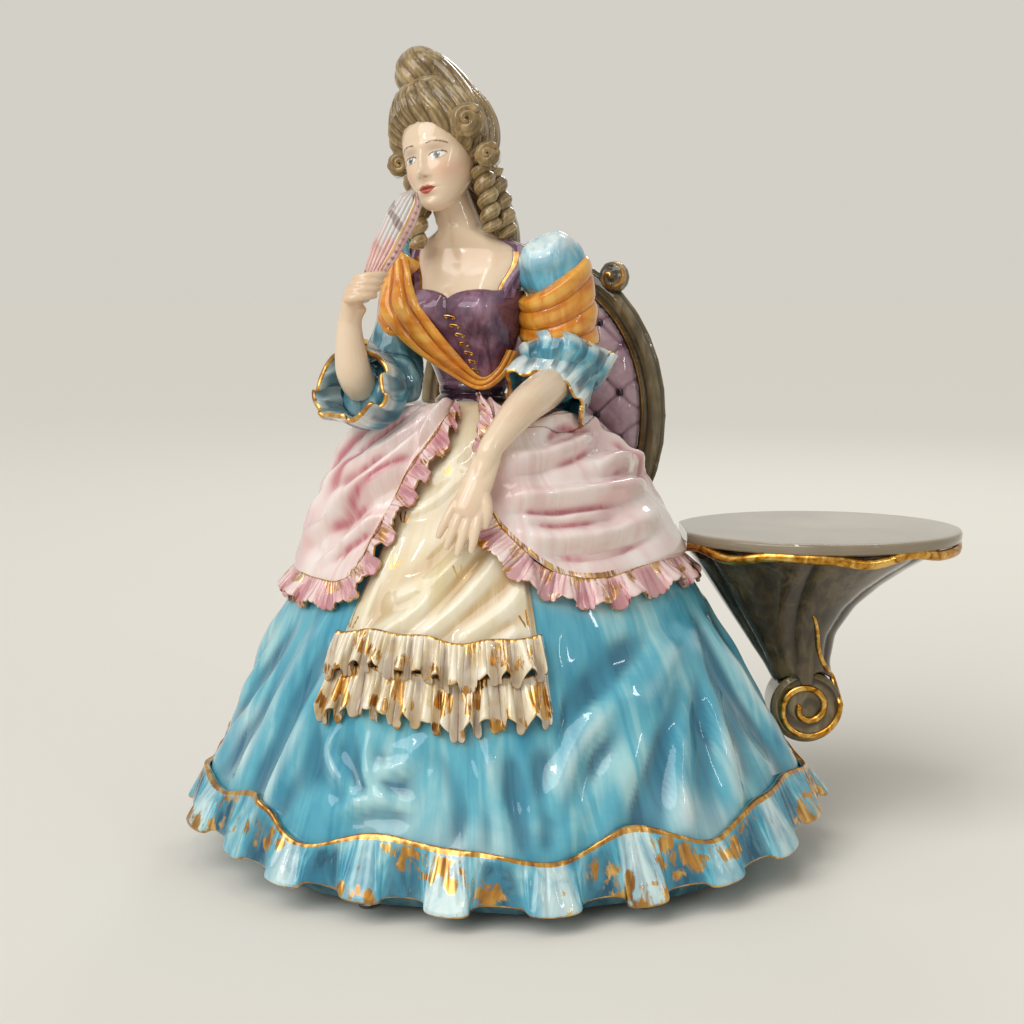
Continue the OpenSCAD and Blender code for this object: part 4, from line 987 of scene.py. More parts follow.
def make_overskirt_frills():
    for name, node, edge, waves, seed in (
        ("overskirt_frill_right_cloth", "overskirt_frill_right", RIGHT_EDGE, 15, 51),
        ("overskirt_frill_left_cloth", "overskirt_frill_left", LEFT_EDGE, 17, 57),
    ):
        far = frill_edge(edge, 15)

        def at(s, w, edge=edge, far=far):
            a0, drop0 = curve(edge, s).T
            a1, drop1 = curve(far, s).T
            return mix(a0, a1, w), mix(out(drop0), out(drop1), w)

        obj = frill(name, at, waves, seed, (330, 18), under_apron, 0.5, 5.6, 0.26)
        hand_over(obj, ROSE, "rose_glaze", node)


BODICE_D = 1.7
LACE_LINE = np.array([[0.1, 300], [0.2, 295], [0.38, 283], [0.56, 272], [0.75, 270]])


def neckline(b):
    """Height share of the bodice's sweetheart edge."""
    off = np.abs(b - FRONT)
    cups = 0.6 + 0.085 * np.sqrt(np.clip(1 - ((np.minimum(off, 40) - 28) / 30) ** 2, 0, 1))
    return np.where(off < 40, cups, 0.678)


def make_bodice():
    def place(s, w):
        b = BACK + 360 * s
        up, wall, lip = section(w, 0.03, 0.06, 0.06)
        h = mix(0.1, neckline(b), up) + 0.008 * lip
        off = np.abs(b - FRONT)
        middle = np.abs(b - np.interp(h, LACE_LINE[:, 0], LACE_LINE[:, 1]))
        seam = np.exp(-((middle - 27) ** 2) / 8) * ease((0.5 - h) / 0.1)
        placket = np.exp(-(middle**2) / 18) * ease((0.62 - h) / 0.05)
        cleft = hump(off / 6) * ease((h - 0.46) / 0.08)
        swell = 0.4 * bust(b, h) - 1.6 * cleft
        d = BODICE_D * (1 - wall) + 0.25 - 0.35 * seam + 0.4 * placket + swell * (1 - wall)
        p = on_torso(b, h, d)
        # Darker along the seams; painted shade in the cleft, under the bust and towards the sides
        under = 0.5 * hump((h - 0.44) / 0.05) * (off < 55)
        pool = 0.6 * seam + 0.7 * cleft + under + 0.5 * ease((off - 50) / 25)
        # Painted highlight: the paler second colour on the bust cups; the bodice is paler near the waist as well
        cups = 0.7 * patch(h, off, (0.6, 28), (0.06, 14))
        gilt = 0.9 * (lip > 0.75) * (off < 45)
        return p, {"pool": pool, "second": cups + 0.5 * ease((0.26 - h) / 0.08), "gold": gilt}

    obj = grid("bodice_shell", 260, 100, place, (140, 60), WAIST + [0, 0, 40])
    hand_over(obj, PLUM, "plum_glaze", "bodice")


def cord_tube(name, path, radius, cols, rows, ends, ref=(0, 1, 0), flat=1.0):
    """Round-ended tube along a smooth path; radius is a number or a function of share and turn."""
    line = np.asarray(path, float)

    def place(s, w):
        turn = 360 * s
        thick = radius(w, turn) if callable(radius) else np.full(len(w), float(radius))
        return on_tube(line, w, turn, thick * rounded_ends(w, ends), ref, flat), {}

    return grid(name, cols, rows, place, (8, 60))


def make_laces():
    parts = []
    turn = np.linspace(-70, 250, 25)
    for i in range(7):
        h = 0.53 - 0.053 * i
        middle = np.interp(h, LACE_LINE[:, 0], LACE_LINE[:, 1])
        b = middle + 5 * cosd(turn)
        rung = h + 0.0085 * sind(turn) - 0.0012 * (b - middle)
        path = on_torso(b, rung, BODICE_D + 0.7 + 0.4 * bust(b, rung))
        parts.append(cord_tube("lace", path, 0.42, 8, 60, 0.01))
    hand_over(joined("bodice_laces", parts), GILT, "gold_lustre")


def make_waist_band():
    def place(s, w):
        b = BACK + 360 * s
        up, wall, lip = section(w, 0.05, 0.08, 0.08)
        wraps = rolls(3.2 * up + 0.14 * cosd(b * 2) + 0.1 * sind(b))
        h = mix(0.005, 0.19, up) + 0.01 * lip
        foot = 2.6 * ease(1 - up / 0.4)
        d = 0.4 + (1.5 + foot + 1.3 * wraps * (1 - 0.4 * up)) * (1 - wall) * mix(1, 0.6, up)
        p = on_torso(b, h, d)
        line = (up < 0.1) & (wall < 0.9)
        # Painted highlight on the crests of the upper wraps and painted shade between the wraps
        light = 0.9 * ease((up - 0.5) / 0.1) * wraps
        return p, {"pool": 0.9 * ease((0.4 - wraps) / 0.3), "second": light, "gold": 0.9 * line}

    obj = grid("waist_band_wraps", 180, 56, place, (100, 20), WAIST + [0, 0, 8])
    hand_over(obj, DARK_PLUM, "dark_plum_glaze", "waist_band")


def make_straps():
    parts = []
    # Side of the torso, angles off its front at the strap's two ends, width in degrees and upper end
    for way, low, high, wide, top in ((-1, 34, 56, 15, 0.95), (1, 60, 82, 32, 0.98)):
        def place(s, w, way=way, low=low, high=high, wide=wide, top=top):
            b = FRONT + way * mix(low, high, w) + wide * (s - 0.5)
            h = mix(0.64, top, w)
            edge = side_ease(s, 0.25)
            pleat = 0.25 * np.cos(TURN * 3 * s)
            climb = 4.5 * (way > 0) * ease((w - 0.3) / 0.5)
            p = on_torso(b, h, 0.2 + (2.6 + pleat + climb) * edge * mix(0.75, 1, ease(4 * (1 - w))))
            inner = s if way < 0 else 1 - s
            line = (inner > 0.89) & (inner < 0.97) & (w < 0.8)
            # Painted shade along the strap's edges and a painted highlight on its pleats
            return p, {"pool": 0.5 * (1 - edge), "second": 0.3 * pleat, "gold": 0.95 * line}

        parts.append(grid("strap", 60, 80, place, (10, 26), WAIST + [0, 0, 60]))
    hand_over(joined("shoulder_straps", parts), PLUM, "plum_glaze", "bodice_straps")


def make_chest():
    def place(s, w):
        b = BACK + 360 * s
        h = mix(0.5, 1.0, w)
        off = np.abs(b - FRONT)
        bone = 0.15 * np.exp(-((h - 0.88 + 0.0009 * off) ** 2) / 0.0006)
        bone = bone * ease((off - 8) / 10) * ease((70 - off) / 15)
        cleft = 1.2 * hump(off / 6) * np.exp(-((h - 0.62) ** 2) / 0.003)
        # Painted shade in the cleft of the bust
        return on_torso(b, h, bone - cleft), {"pool": 0.5 * cleft}

    obj = grid("chest_skin", 160, 70, place, (160, 50), WAIST + [0, 0, 60])
    hand_over(obj, FLESH, "flesh_glaze", "chest")


# Head rows: height, half width, front and back as shares of the head's sizes
HEAD_ROWS = np.array([
    [-0.475, 0.0, -0.3, -0.3], [-0.46, 0.1, -0.39, -0.2], [-0.42, 0.19, -0.44, -0.04],
    [-0.34, 0.28, -0.465, 0.12], [-0.24, 0.35, -0.47, 0.26], [-0.12, 0.42, -0.47, 0.37],
    [0.06, 0.47, -0.46, 0.47], [0.24, 0.475, -0.44, 0.5], [0.38, 0.39, -0.36, 0.42],
    [0.46, 0.22, -0.2, 0.26], [0.49, 0.0, 0.02, 0.02],
])


def patch(x, z, at, size):
    """Soft round patch, 1 at its middle."""
    return np.exp(-(((x - at[0]) / size[0]) ** 2) - ((z - at[1]) / size[1]) ** 2)


# Features on plain proportions: eyes at half the head's height, an eye's width apart, mouth a third below the nose
EYE = (7.4, 0.6)
NOSE_Z = -8.5
MOUTH_Z = -14.2


def face_relief(x, z):
    rise = 2.3 * patch(x, z, (0, -1.5), (1.9, 5.5)) + 4.2 * patch(x, z, (0, NOSE_Z + 1.6), (2.3, 2.4))
    rise += 1.2 * patch(x, z, (0, MOUTH_Z + 1.0), (4.2, 1.0)) + 1.5 * patch(x, z, (0, MOUTH_Z - 1.4), (3.4, 1.2))
    rise -= 0.9 * patch(x, z, (0, MOUTH_Z - 0.1), (4.4, 0.45)) + 0.8 * patch(x, z, (0, MOUTH_Z - 4.2), (4, 1.5))
    rise += 1.7 * patch(x, z, (0, -21.5), (4.6, 3))
    for way in (-1, 1):
        rise += patch(x, z, (way * 2.9, NOSE_Z + 0.6), (1.3, 1.3))
        rise -= 2.1 * patch(x, z, (way * 6.6, EYE[1] + 0.8), (4.6, 3.4))
        rise += 1.7 * patch(x, z, (way * EYE[0], EYE[1]), (3.3, 2.2))
        rise += 0.9 * patch(x, z, (way * 8, 6.4), (6, 1.7))
        rise += 1.2 * patch(x, z, (way * 10.5, -6.5), (6, 5.5))
    return rise


def face_paint(x, z, front):
    """Colours of the painted features for each corner."""
    colour = np.tile(srgb(SKIN)[:3], (len(x), 1))

    def brush(code, share):
        share = np.clip(share * front, 0, 1)[:, None]
        colour[:] = colour * (1 - share) + np.array(srgb(code)[:3]) * share

    def blot(at, size, soft=0.25):
        reach = ((x - at[0]) / size[0]) ** 2 + ((z - at[1]) / size[1]) ** 2
        return ease((1 - reach) / soft)

    for way in (-1, 1):
        brush("#E4A78C", 0.55 * patch(x, z, (way * 11, -6.5), (5.5, 4.5)))
        brush("#B9A393", 0.55 * patch(x, z, (way * 7.6, 3.4), (4.4, 1.5)))
        arch = 7.2 - 0.055 * (np.abs(x) - 6.4) ** 2
        brush("#6A5138", ease((0.5 - np.abs(z - arch)) / 0.3) * (way * x > 3.2) * (way * x < 12.4))
        brush("#F4EEE4", blot((way * EYE[0], EYE[1]), (3.5, 1.65)))
        brush("#55707A", blot((way * (EYE[0] - 0.2), EYE[1] + 0.1), (1.65, 1.65)))
        brush("#1C1A1C", blot((way * (EYE[0] - 0.2), EYE[1] + 0.1), (0.75, 0.8)))
        # Painted highlight: a small white glint in each eye
        brush("#FFFFFF", blot((way * EYE[0] + 0.5, EYE[1] + 0.8), (0.42, 0.42)))
        lid = EYE[1] + 1.65 * np.sqrt(np.clip(1 - ((way * x - EYE[0]) / 4.1) ** 2, 0, 1))
        brush("#33261F", ease((0.5 - np.abs(z - lid)) / 0.3) * (np.abs(way * x - EYE[0]) < 4.1))
        low = EYE[1] - 1.65 * np.sqrt(np.clip(1 - ((way * x - EYE[0]) / 3.7) ** 2, 0, 1))
        brush("#8A6A57", 0.6 * ease((0.3 - np.abs(z - low)) / 0.25) * (np.abs(way * x - EYE[0]) < 3.6))
        brush("#9C6E56", 0.7 * patch(x, z, (way * 1.6, NOSE_Z - 0.4), (0.8, 0.5)))
    bow = MOUTH_Z + 1.75 - 0.1 * x**2 * (np.abs(x) > 1) - 0.5 * hump(x / 0.8)
    lips = (z < bow) & (z > MOUTH_Z - 2.5 + 0.13 * x**2) & (np.abs(x) < 4.3)
    brush("#B8473F", 0.95 * lips)
    brush("#7C2723", 0.8 * ease((0.32 - np.abs(z - MOUTH_Z)) / 0.2) * (np.abs(x) < 4.4))
    return colour


def make_head():
    def place(s, w):
        t = 2 * s - 1
        turn = FRONT + 180 * (0.55 * t + 0.45 * t**3)
        q = curve(HEAD_ROWS, w)
        x = q[:, 1] * HEAD_W * cosd(turn)
        middle = (q[:, 2] + q[:, 3]) / 2 * HEAD_D
        y = middle + (q[:, 3] - q[:, 2]) / 2 * HEAD_D * sind(turn)
        z = q[:, 0] * HEAD_H
        front = ease(-sind(turn) * 2.2 - 0.3)
        y = y - face_relief(x, z) * front
        return on_head(points(x, y, z), FACE_TURN), {}

    skull = grid("skull", 300, 210, place, (120, 60))
    level = turn_z(mm_corners(skull.data) - HEAD_C, FACE_TURN)
    x = level[:, 0] * cosd(HEAD_TILT) + level[:, 2] * sind(HEAD_TILT)
    z = -level[:, 0] * sind(HEAD_TILT) + level[:, 2] * cosd(HEAD_TILT)
    colour = face_paint(x, z, (level[:, 1] < -3).astype(float))
    top = HEAD_C - [0, -3, HEAD_H * 0.16]
    levels = [(0.1, 12.9), (0.25, 11.6), (0.45, 10.9), (0.7, 10.5), (1, 10.5)]

    def neck_place(s, w):
        p = np.zeros((len(s), 3))
        for column in np.unique(s):
            b = np.array(BACK + 360 * column)
            rings = [on_torso(b, np.array(h), d) for h, d in ((0.88, -0.8), (0.91, -0.05), (0.94, 0.3))]
            ring = turn_z(points(cosd(b), sind(b), 0), -TORSO_TURN)
            rings += [mix(NECK_FOOT, top, k) + ring * r for k, r in levels]
            p[s == column] = curve(rings, w[s == column])
        return p, {}

    neck = grid("neck", 72, 64, neck_place, (60, 30), mix(NECK_FOOT, top, 0.5))
    count = len(neck.data.vertices)
    obj = joined("head_and_neck", [skull, neck])
    paint = obj.data.attributes.new("paint", "FLOAT_COLOR", "POINT")
    everything = np.concatenate([colour, np.tile(srgb(SKIN)[:3], (count, 1))])
    paint.data.foreach_set("color", np.concatenate([everything, np.ones((len(everything), 1))], 1).ravel())
    hand_over(obj, FACE, "flesh_glaze", "head")


def hair_light(lock, hair):
    """Painted highlight: pale paint on the crests of locks."""
    return 0.5 * ease((lock * hair - 0.7) / 0.25)


def make_hair_crown():
    middle = np.array([0, 4, HEAD_H * 0.24])
    size = np.array([25.4, 27.3, 26.7])

    def place(s, w):
        turn = BACK + 360 * s
        fall = 176 * w
        way = points(sind(fall) * cosd(turn), sind(fall) * sind(turn), cosd(fall))
        off = np.abs(turn - FRONT)
        drift = 9 * sind(2.4 * fall + 40) + 6 * sind(3 * turn)
        lock = strands(13 * (turn + drift))
        hair = strands(41 * (turn + 1.4 * drift))
        swell = 3.4 * patch(off, fall, (0, 46), (60, 22))
        rise = (1.9 * lock + 0.5 * hair - 1.3) * ease(fall / 25) + swell
        p = middle + way * (size + rise[:, None])
        line = np.interp(off, [0, 20, 38, 55, 72, 92, 180], [18, 17, 11.5, 3, -6, -13, -15])
        full = np.sqrt(ease((p[:, 2] - line + 0.5) / 9))
        skin = np.interp(off, [0, 40, 75], [0.79, 0.77, 0.66])
        p = middle + (p - middle) * mix(skin, 1, full)[:, None]
        # Painted shade between the locks and fine strands, and a painted highlight on their crests
        pool = 0.9 * hollow(lock, 0.5) + 0.25 * (1 - hair)
        return on_head(p), {"pool": pool, "second": hair_light(lock, hair)}

    parts = [grid("crown", 320, 160, place, (160, 80))]
    # Locks swept from the topknot down the back of the crown: each way round, with its thickness
    for around, thick in ((38, 6.2), (4, 5.4), (72, 5.4), (108, 5)):
        way = np.array([cosd(around), sind(around), 0])
        fall = ((-3, 51), (5, 45), (13, 34), (20, 20), (23.5, 5))
        parts.append(swept_lock([way * reach + [0, 0, height] for reach, height in fall], thick))
    hand_over(joined("hair_crown_locks", parts), HAIR, "hair_glaze", "hair_crown")


def swept_lock(spots, thick):
    """Broad lock of hair along points of the head, with fine strands along it."""
    line = on_head(np.array(spots, float))

    def place(s, w):
        turn = 360 * s
        lock = strands(3.5 * turn + 70 * np.sin(4 * w))
        hair = strands(9.5 * turn + 90 * w)
        r = thick * rounded_ends(w, 0.12) * mix(0.85, 1.05, np.sin(math.pi * w))
        p = on_tube(line, w, turn, r * (0.88 + 0.1 * lock + 0.04 * hair))
        # Painted shade between the locks and strands, and a painted highlight on their crests
        pool = 0.9 * hollow(lock, 0.45) + 0.2 * (1 - hair)
        return p, {"pool": pool, "second": hair_light(lock, hair)}

    return grid("lock", 70, 90, place, (40, 60))


def make_topknot():
    def bun(s, w):
        turn = 360 * s
        r = 13.2 * np.sqrt(np.maximum(sind(mix(14, 180, w)), 0))
        lock = strands(4 * turn + 300 * w)
        hair = strands(13 * turn + 900 * w)
        r = r * (0.9 + 0.1 * lock + 0.03 * hair)
        p = points(-4 + r * cosd(turn) - 2 * w, r * sind(turn), HEAD_H * 0.6 + 26.6 * w)
        # Painted shade between the locks and a painted highlight on their crests
        return on_head(p), {"pool": 0.95 * hollow(lock, 0.5), "second": hair_light(lock, hair)}

    def coil(s, w):
        round_way = 360 * w
        lock = strands(360 * s * 2 + 4 * round_way)
        r = 5.0 * (0.86 + 0.16 * lock)
        reach = 11.3 + r * cosd(360 * s)
        z = HEAD_H * 0.665 + 2.4 * cosd(round_way - 30) + r * sind(360 * s)
        p = points(-4 + reach * cosd(round_way), reach * sind(round_way), z)
        # Painted highlight on the coil's crests and painted shade between its locks
        light = 0.4 * ease((lock - 0.8) / 0.2)
        return on_head(p), {"pool": 0.95 * hollow(lock, 0.5), "second": light}

    parts = [grid("bun", 140, 90, bun, (80, 40)), grid("coil", 40, 200, coil, (28, 80))]
    hand_over(joined("topknot_coil", parts), HAIR, "hair_glaze", "topknot")


def roll_curl(at, length, around, thick):
    """Roll of hair whose front end shows as a rope wound to a spiral; around is the way that the end faces."""
    way = np.array([-cosd(around), -sind(around), 0])
    across = np.array([sind(around), -cosd(around), 0])
    path = []
    for share in np.linspace(0, 1, 60):
        turn = 20 + 640 * share
        reach = thick * mix(0.68, 0.1, share)
        spot = at + across * reach * cosd(turn) + way * (length * 0.36 + thick * 0.28 * share)
        path.append(on_head(spot + [0, 0, reach * sind(turn)]))

    def rope(w, turn):
        return thick * mix(0.36, 0.2, w) * (0.84 + 0.16 * strands(2.5 * turn + 30))

    end = cord_tube("curl_end", path, rope, 24, 180, 0.03, on_head(way) - on_head(np.zeros(3)))

    def body(s, w):
        turn = 360 * s
        lock = strands(4 * turn + 60 * w)
        r = thick * rounded_ends(w, 0.22) * (0.9 + 0.09 * lock)
        line = on_head(np.array([at - way * length * 0.5, at, at + way * length * 0.45]))
        # Painted shade between the locks
        return on_tube(line, w, turn, r, (0, 0, 1)), {"pool": 0.9 * hollow(lock, 0.45)}

    return [end, grid("curl_roll", 48, 40, body, (40, 20))]


def make_side_curls():
    parts = []
    for at, length, thick in (
        ((HEAD_W * 0.62, -HEAD_D * 0.14, HEAD_H * 0.25), 16, 8.2),
        ((HEAD_W * 0.68, HEAD_D * 0.05, -HEAD_H * 0.06), 12.8, 6.3),
        ((-HEAD_W * 0.6, -HEAD_D * 0.12, HEAD_H * 0.06), 11.2, 6.2),
    ):
        parts += roll_curl(np.array(at), length, 125, thick)
    hand_over(joined("side_curls_rolled", parts), HAIR, "hair_glaze", "side_curls")


def ringlet(start, end, turns, thick):
    """Corkscrew ringlet: a rope wound round its own middle, round at its foot."""
    line = HEAD_C + np.array([start, mix(np.array(start), np.array(end), 0.5) + [0.8, -0.6, 0], end], float)

    def place(s, w):
        turn = 360 * s
        ridge = np.abs(np.cos(np.radians(turn * 0.5 - 180 * turns * w))) ** 0.8
        hair = strands(3.5 * turn - 1260 * turns * w / 2)
        r = thick * rounded_ends(w, 0.08) * mix(1.05, 0.85, w) * (0.64 + 0.38 * ridge + 0.04 * hair)
        p = on_tube(line, w, turn, r, (1, 0, 0))
        # Painted highlight on the ridges and painted shade between the turns
        light = 0.5 * ease((ridge * hair - 0.75) / 0.2)
        return p, {"pool": 0.95 * hollow(ridge, 0.45), "second": light}

    return grid("ringlet", 48, 170, place, (26, 40))


def make_ringlets():
    left = [
        ringlet([18, -8, -2], [24, -10, -34], 5, 5.6),
        ringlet([23, 1, -4], [32, -4, -37], 5, 5.8),
    ]
    right = [
        ringlet([-15, 5, -6], [-12, -6, -42], 5, 5),
        ringlet([-9.5, 12, -9], [-13, 4, -34], 4, 5),
    ]
    hand_over(joined("ringlets_left_locks", left), HAIR, "hair_glaze", "ringlets_left")
    hand_over(joined("ringlets_right_locks", right), HAIR, "hair_glaze", "ringlets_right")


def make_back_hair():
    spots = np.array([[12, 18, 6, 13], [18, 25, -12, 14], [27, 22, -32, 12], [32, 18, -46, 7]])
    line = [ball(HEAD_C + q[:3], q[3]) for q in spots]

    def place(s, w):
        turn = 360 * s
        lock = strands(5 * turn + 80 * np.sin(4 * w))
        fine = strands(17 * turn + 120 * w)
        r = curve(line, w)[:, 3] * rounded_ends(w, 0.08) * (0.9 + 0.08 * lock + 0.02 * fine)
        # Painted shade between the locks and strands, and a painted highlight on their crests
        pool = 0.9 * hollow(lock, 0.45) + 0.2 * (1 - fine)
        p = on_tube(line, w, turn, r, (1, 0, 0), 0.85)
        return p, {"pool": pool, "second": hair_light(lock, fine)}

    hand_over(grid("back_hair_locks", 160, 100, place, (70, 60)), HAIR, "hair_glaze", "back_hair")


def arm_reading(p, arm):
    """Share along the arm and turn round it for each point."""
    shares = np.linspace(0, 1, 40)
    _, share = near_line(p, curve(arm, shares)[:, :3])
    c, _, side, up = tube_frame(arm, share, (0, 1, 0))
    off = p - c[:, :3]
    return share, np.degrees(np.arctan2((off * up).sum(1), (off * side).sum(1)))


def make_sleeves():
    def puff(p, n):
        share, turn = arm_reading(p, ARM_L)
        gathers = strands(3 * turn + 130 * share + 60 * np.sin(7 * share))
        rise = 2.3 * hump((share - 0.26) / 0.17) + 0.8 * (gathers - 0.6) + 0.7 * wobble(p, 17, 61)
        low = ease((share - 0.16) / 0.16)
        # Painted shade between the gathers below the top; the part nearest the shoulder takes the pale second colour
        pool = (0.2 + 0.35 * hollow(gathers, 0.45)) * low
        return rise, {"pool": pool, "second": 0.95 * (1 - low)}

    def long_folds(p, n):
        share, turn = arm_reading(p, ARM_R)
        ring = np.abs(np.sin(TURN * 2.2 * share + np.radians(1.2 * turn))) ** 0.7
        # The upper arm lies closer to the side than a round sleeve would
        slim = 6 * np.maximum(cosd(turn), 0) * ease((share - 0.1) / 0.15) * ease((0.62 - share) / 0.2)
        rise = 1.8 * (ring - 0.6) + 0.6 * wobble(p, 14, 63) - slim
        # Painted shade between the folds and a painted highlight on their crests
        light = 0.5 * ease((ring - 0.8) / 0.2)
        return rise, {"pool": 0.9 * hollow(ring, 0.5), "second": light}

    obj = formed(from_solid("sleeve_left_puff", "sleeve_left", 0.8, 23), puff)
    hand_over(obj, BLUE, "blue_glaze", "sleeve_left")
    obj = formed(from_solid("sleeve_right_long", "sleeve_right", 0.8, 23), long_folds)
    hand_over(obj, DEEP_TEAL, "blue_glaze", "sleeve_right")


# Front band of the shawl, from the lady's right shoulder under the bust to the left arm: its two edges
SHAWL_INNER = np.array([
    [-47, -4, 296.5], [-44.8, -12, 284.6], [-40, -21.5, 274], [-31, -22, 261.6],
    [-22, -19.4, 250.7], [-15.8, -17, 243.4], [-11.7, -15.8, 240.5], [-8.1, -15, 241.3],
    [-3.4, -14.4, 245.8], [0.5, -15.4, 253.5],
])
SHAWL_OUTER = np.array([
    [-55, -2, 298], [-58.6, -6, 284], [-61.2, -10, 272.5], [-51.6, -16, 259],
    [-39.3, -17, 249.2], [-26.4, -15.5, 240.8], [-15.4, -17, 234.8], [-7.3, -16, 235.2],
    [1.4, -12, 242.5], [6, -13, 252.5],
])


def make_shawl_wrap():
    arm = ARM_L + [-3.5, -1, 0, 1.6]

    def wrap(s, w):
        turn = 360 * s
        share = mix(0.36, 0.745, w) + 0.04 * cosd(turn)
        roll = rolls(3.7 * w + 0.09 * sind(turn + 30) + 0.07 * sind(2 * turn + 50) + 0.15, 0.55)
        twist = strands(2 * turn + 200 * w + 50 * np.sin(9 * w))
        cap = rounded_ends(w, 0.06)
        p = on_tube(arm, share, turn, curve(arm, share)[:, 3])
        thick = mix(-4.5, 3 + 1.1 * roll + 0.4 * twist * roll + 0.9 * wobble(p, 19, 65), cap)
        p = on_tube(arm, share, turn, curve(arm, share)[:, 3] + thick)
        # Painted shade between the rolls and twists, and a painted highlight on the roll crests
        pool = 0.55 * hollow(roll, 0.5) + 0.2 * (1 - twist)
        return p, {"pool": pool, "second": 0.75 * ease((roll - 0.8) / 0.2) * twist}

    obj = grid("shawl_arm_rolls", 180, 130, wrap, (120, 45), mix(SHOULDER_L, ELBOW_L, 0.5))
    hand_over(obj, ORANGE, "orange_glaze", "shawl_arm_wrap")


def make_shawl_front():
    def drape(s, w):
        inner = curve(SHAWL_INNER, s)
        outer = curve(SHAWL_OUTER, s)
        across = np.clip((w - 0.08) / 0.84, 0, 1)
        p = mix(inner, outer, across[:, None])
        out_way = unit(mix(np.array([-0.5, -0.85, 0.1]), np.array([0, -1, 0.25]), ease(s / 0.35)[:, None]))
        pleat = rolls(2.3 * across + 0.5 * s + 0.16 * np.sin(9 * s) + 0.15)
        wide = np.linalg.norm(outer - inner, axis=1)
        bulge = np.sqrt(np.clip(1 - (2 * across - 1) ** 2, 0, 1))
        lift = (0.8 + 2.4 * pleat) * np.minimum(wide / 16, 1) * bulge + 0.6 * wobble(p, 17, 67) * bulge
        p = p + out_way * lift[:, None]
        tuck = 5 * (np.clip((0.08 - w) / 0.08, 0, 1) + np.clip((w - 0.92) / 0.08, 0, 1))
        back = mix(inner, outer, 0.5) + [0, 12, 0] - p
        p = p + unit(back) * tuck[:, None]
        # Painted shade between the pleats and a painted highlight on their crests
        pool = 0.95 * ease((0.58 - pleat) / 0.45) * ease(wobble(p, 22, 68) + 0.9)
        light = 0.75 * ease((pleat - 0.75) / 0.2) * ease(wobble(p, 20, 67) + 0.7)
        return p, {"pool": pool, "second": light}

    front = grid("drape", 200, 80, drape, (120, 30), WAIST + [0, 20, 45])

    def shoulder(s, w):
        turn = 360 * s
        share = mix(0.12, 0.46, w) - 0.05 * cosd(turn) - 0.04 * sind(turn)
        roll = rolls(2.2 * w + 0.3 * sind(turn) + 0.3)
        cap = rounded_ends(w, 0.2)
        slim = 7 * np.maximum(cosd(turn), 0) * ease((share - 0.1) / 0.15)
        p = on_tube(ARM_R, share, turn, curve(ARM_R, share)[:, 3])
        thick = mix(-2.5, 1.2 + 2.0 * roll + 0.7 * wobble(p, 15, 69), cap) - slim
        p = on_tube(ARM_R, share, turn, curve(ARM_R, share)[:, 3] + thick)
        # Painted shade between the rolls and a painted highlight on their crests
        return p, {"pool": 0.7 * hollow(roll, 0.45), "second": 0.75 * ease((roll - 0.75) / 0.2)}

    top = grid("shoulder", 120, 80, shoulder, (100, 40), mix(SHOULDER_R, ELBOW_R, 0.3))
    hand_over(joined("shawl_front_folds", [front, top]), ORANGE, "orange_glaze", "shawl_front")


def cuff(name, arm, span, flare, waves, seed, slant=0.0, tight=0.0, tip=0.0, pale=0.0):
    """Ruffle round the arm over a span from its gathered share of the arm to its free one, with a waved, pale and
    gilded rim. slant sets it lower on the arm's outer side, tight draws its front to the forearm, tip swings its
    lower rim forwards and up, and pale is how light its inside is."""
    start, end = span
    free = np.sign(end - start)

    def place(s, w):
        turn = 360 * s
        down, wall, lip = section(w, 0.04, 0.1, 0.3)
        crest, bend = uneven_waves(turn, waves, seed)
        share = np.clip(mix(start, end, down) + slant * cosd(turn), 0, 1)
        c, along, side, up = tube_frame(arm, share, (0, 1, 0))
        gathers = 0.5 * cosd(turn * waves * 2) * np.sin(math.pi * np.clip(down, 0, 1))
        front = tight * np.maximum(-sind(turn), 0) ** 0.8
        r = c[:, 3] + 0.9 + 2.8 * (1 - wall) + gathers
        r = r + flare * down**0.8 * (0.82 + 0.5 * down * (crest - 0.5)) * (1 - front)
        closed = front * ease(down) if free > 0 else ease(1 - down / 0.3)
        r = mix(r, 9.6 + 1.5 * (1 - wall), closed)
        low = np.maximum(-cosd(turn), 0) * down**2
        slide = free * ((9 * (end >= 1) * (1 - 0.45 * front) - 2.5 * crest) * down**2 + 1.2 * lip)
        slide = slide - tip * cosd(turn) * down**2
        swayed = turn + 30 / waves * bend * ease(down)
        swing = cosd(swayed)[:, None] * side + sind(swayed)[:, None] * up
        p = c[:, :3] + along * slide[:, None] + swing * r[:, None] + points(0, 0, tip * low)
        gilt = 0.95 * (lip > 0.5) + 0.2 * (down > 0.9) * (wall < 0.5)
        inside = wall > 0.6
        # Painted shade between the waves, and inside the cuff as far as pale leaves it; the outer face is paler towards
        # the rim
        pool = 0.85 * hollow(crest, 0.4) * ease(down / 0.3) * ease((0.95 - down) / 0.2) + (0.7 - pale) * inside
        light = ease((down - 0.45) / 0.3) * (wall < 0.5) + pale * inside
        return p, {"pool": pool, "second": light, "gold": gilt}

    return grid(name, 280, 50, place, (120, 34), curve(arm, np.array(max(start, end) - 0.03))[:3])


def make_cuffs():
    left = [
        cuff("bell", ARM_L, (0.82, 1), 9, 9, 71, 0, 0.95),
        cuff("ruffle", ARM_L, (0.95, 0.79), 9, 9, 77, 0.06),
    ]
    right = [cuff("bell", ARM_R, (0.86, 1), 8, 7, 73, 0, 0, 8, 0.7)]
    hand_over(joined("cuff_left_bell", left), TEAL, "grey_teal_glaze", "cuff_left")
    hand_over(joined("cuff_right_bell", right), TEAL, "grey_teal_glaze", "cuff_right")


def limb(path, ref, flat=1.0):
    """Rounded limb through balls [x, y, z, radius]."""
    line = np.array(path, float)
    return cord_tube("limb", line[:, :3], lambda w, turn: curve(line, w)[:, 3], 20, 40, 0.08, ref, flat)


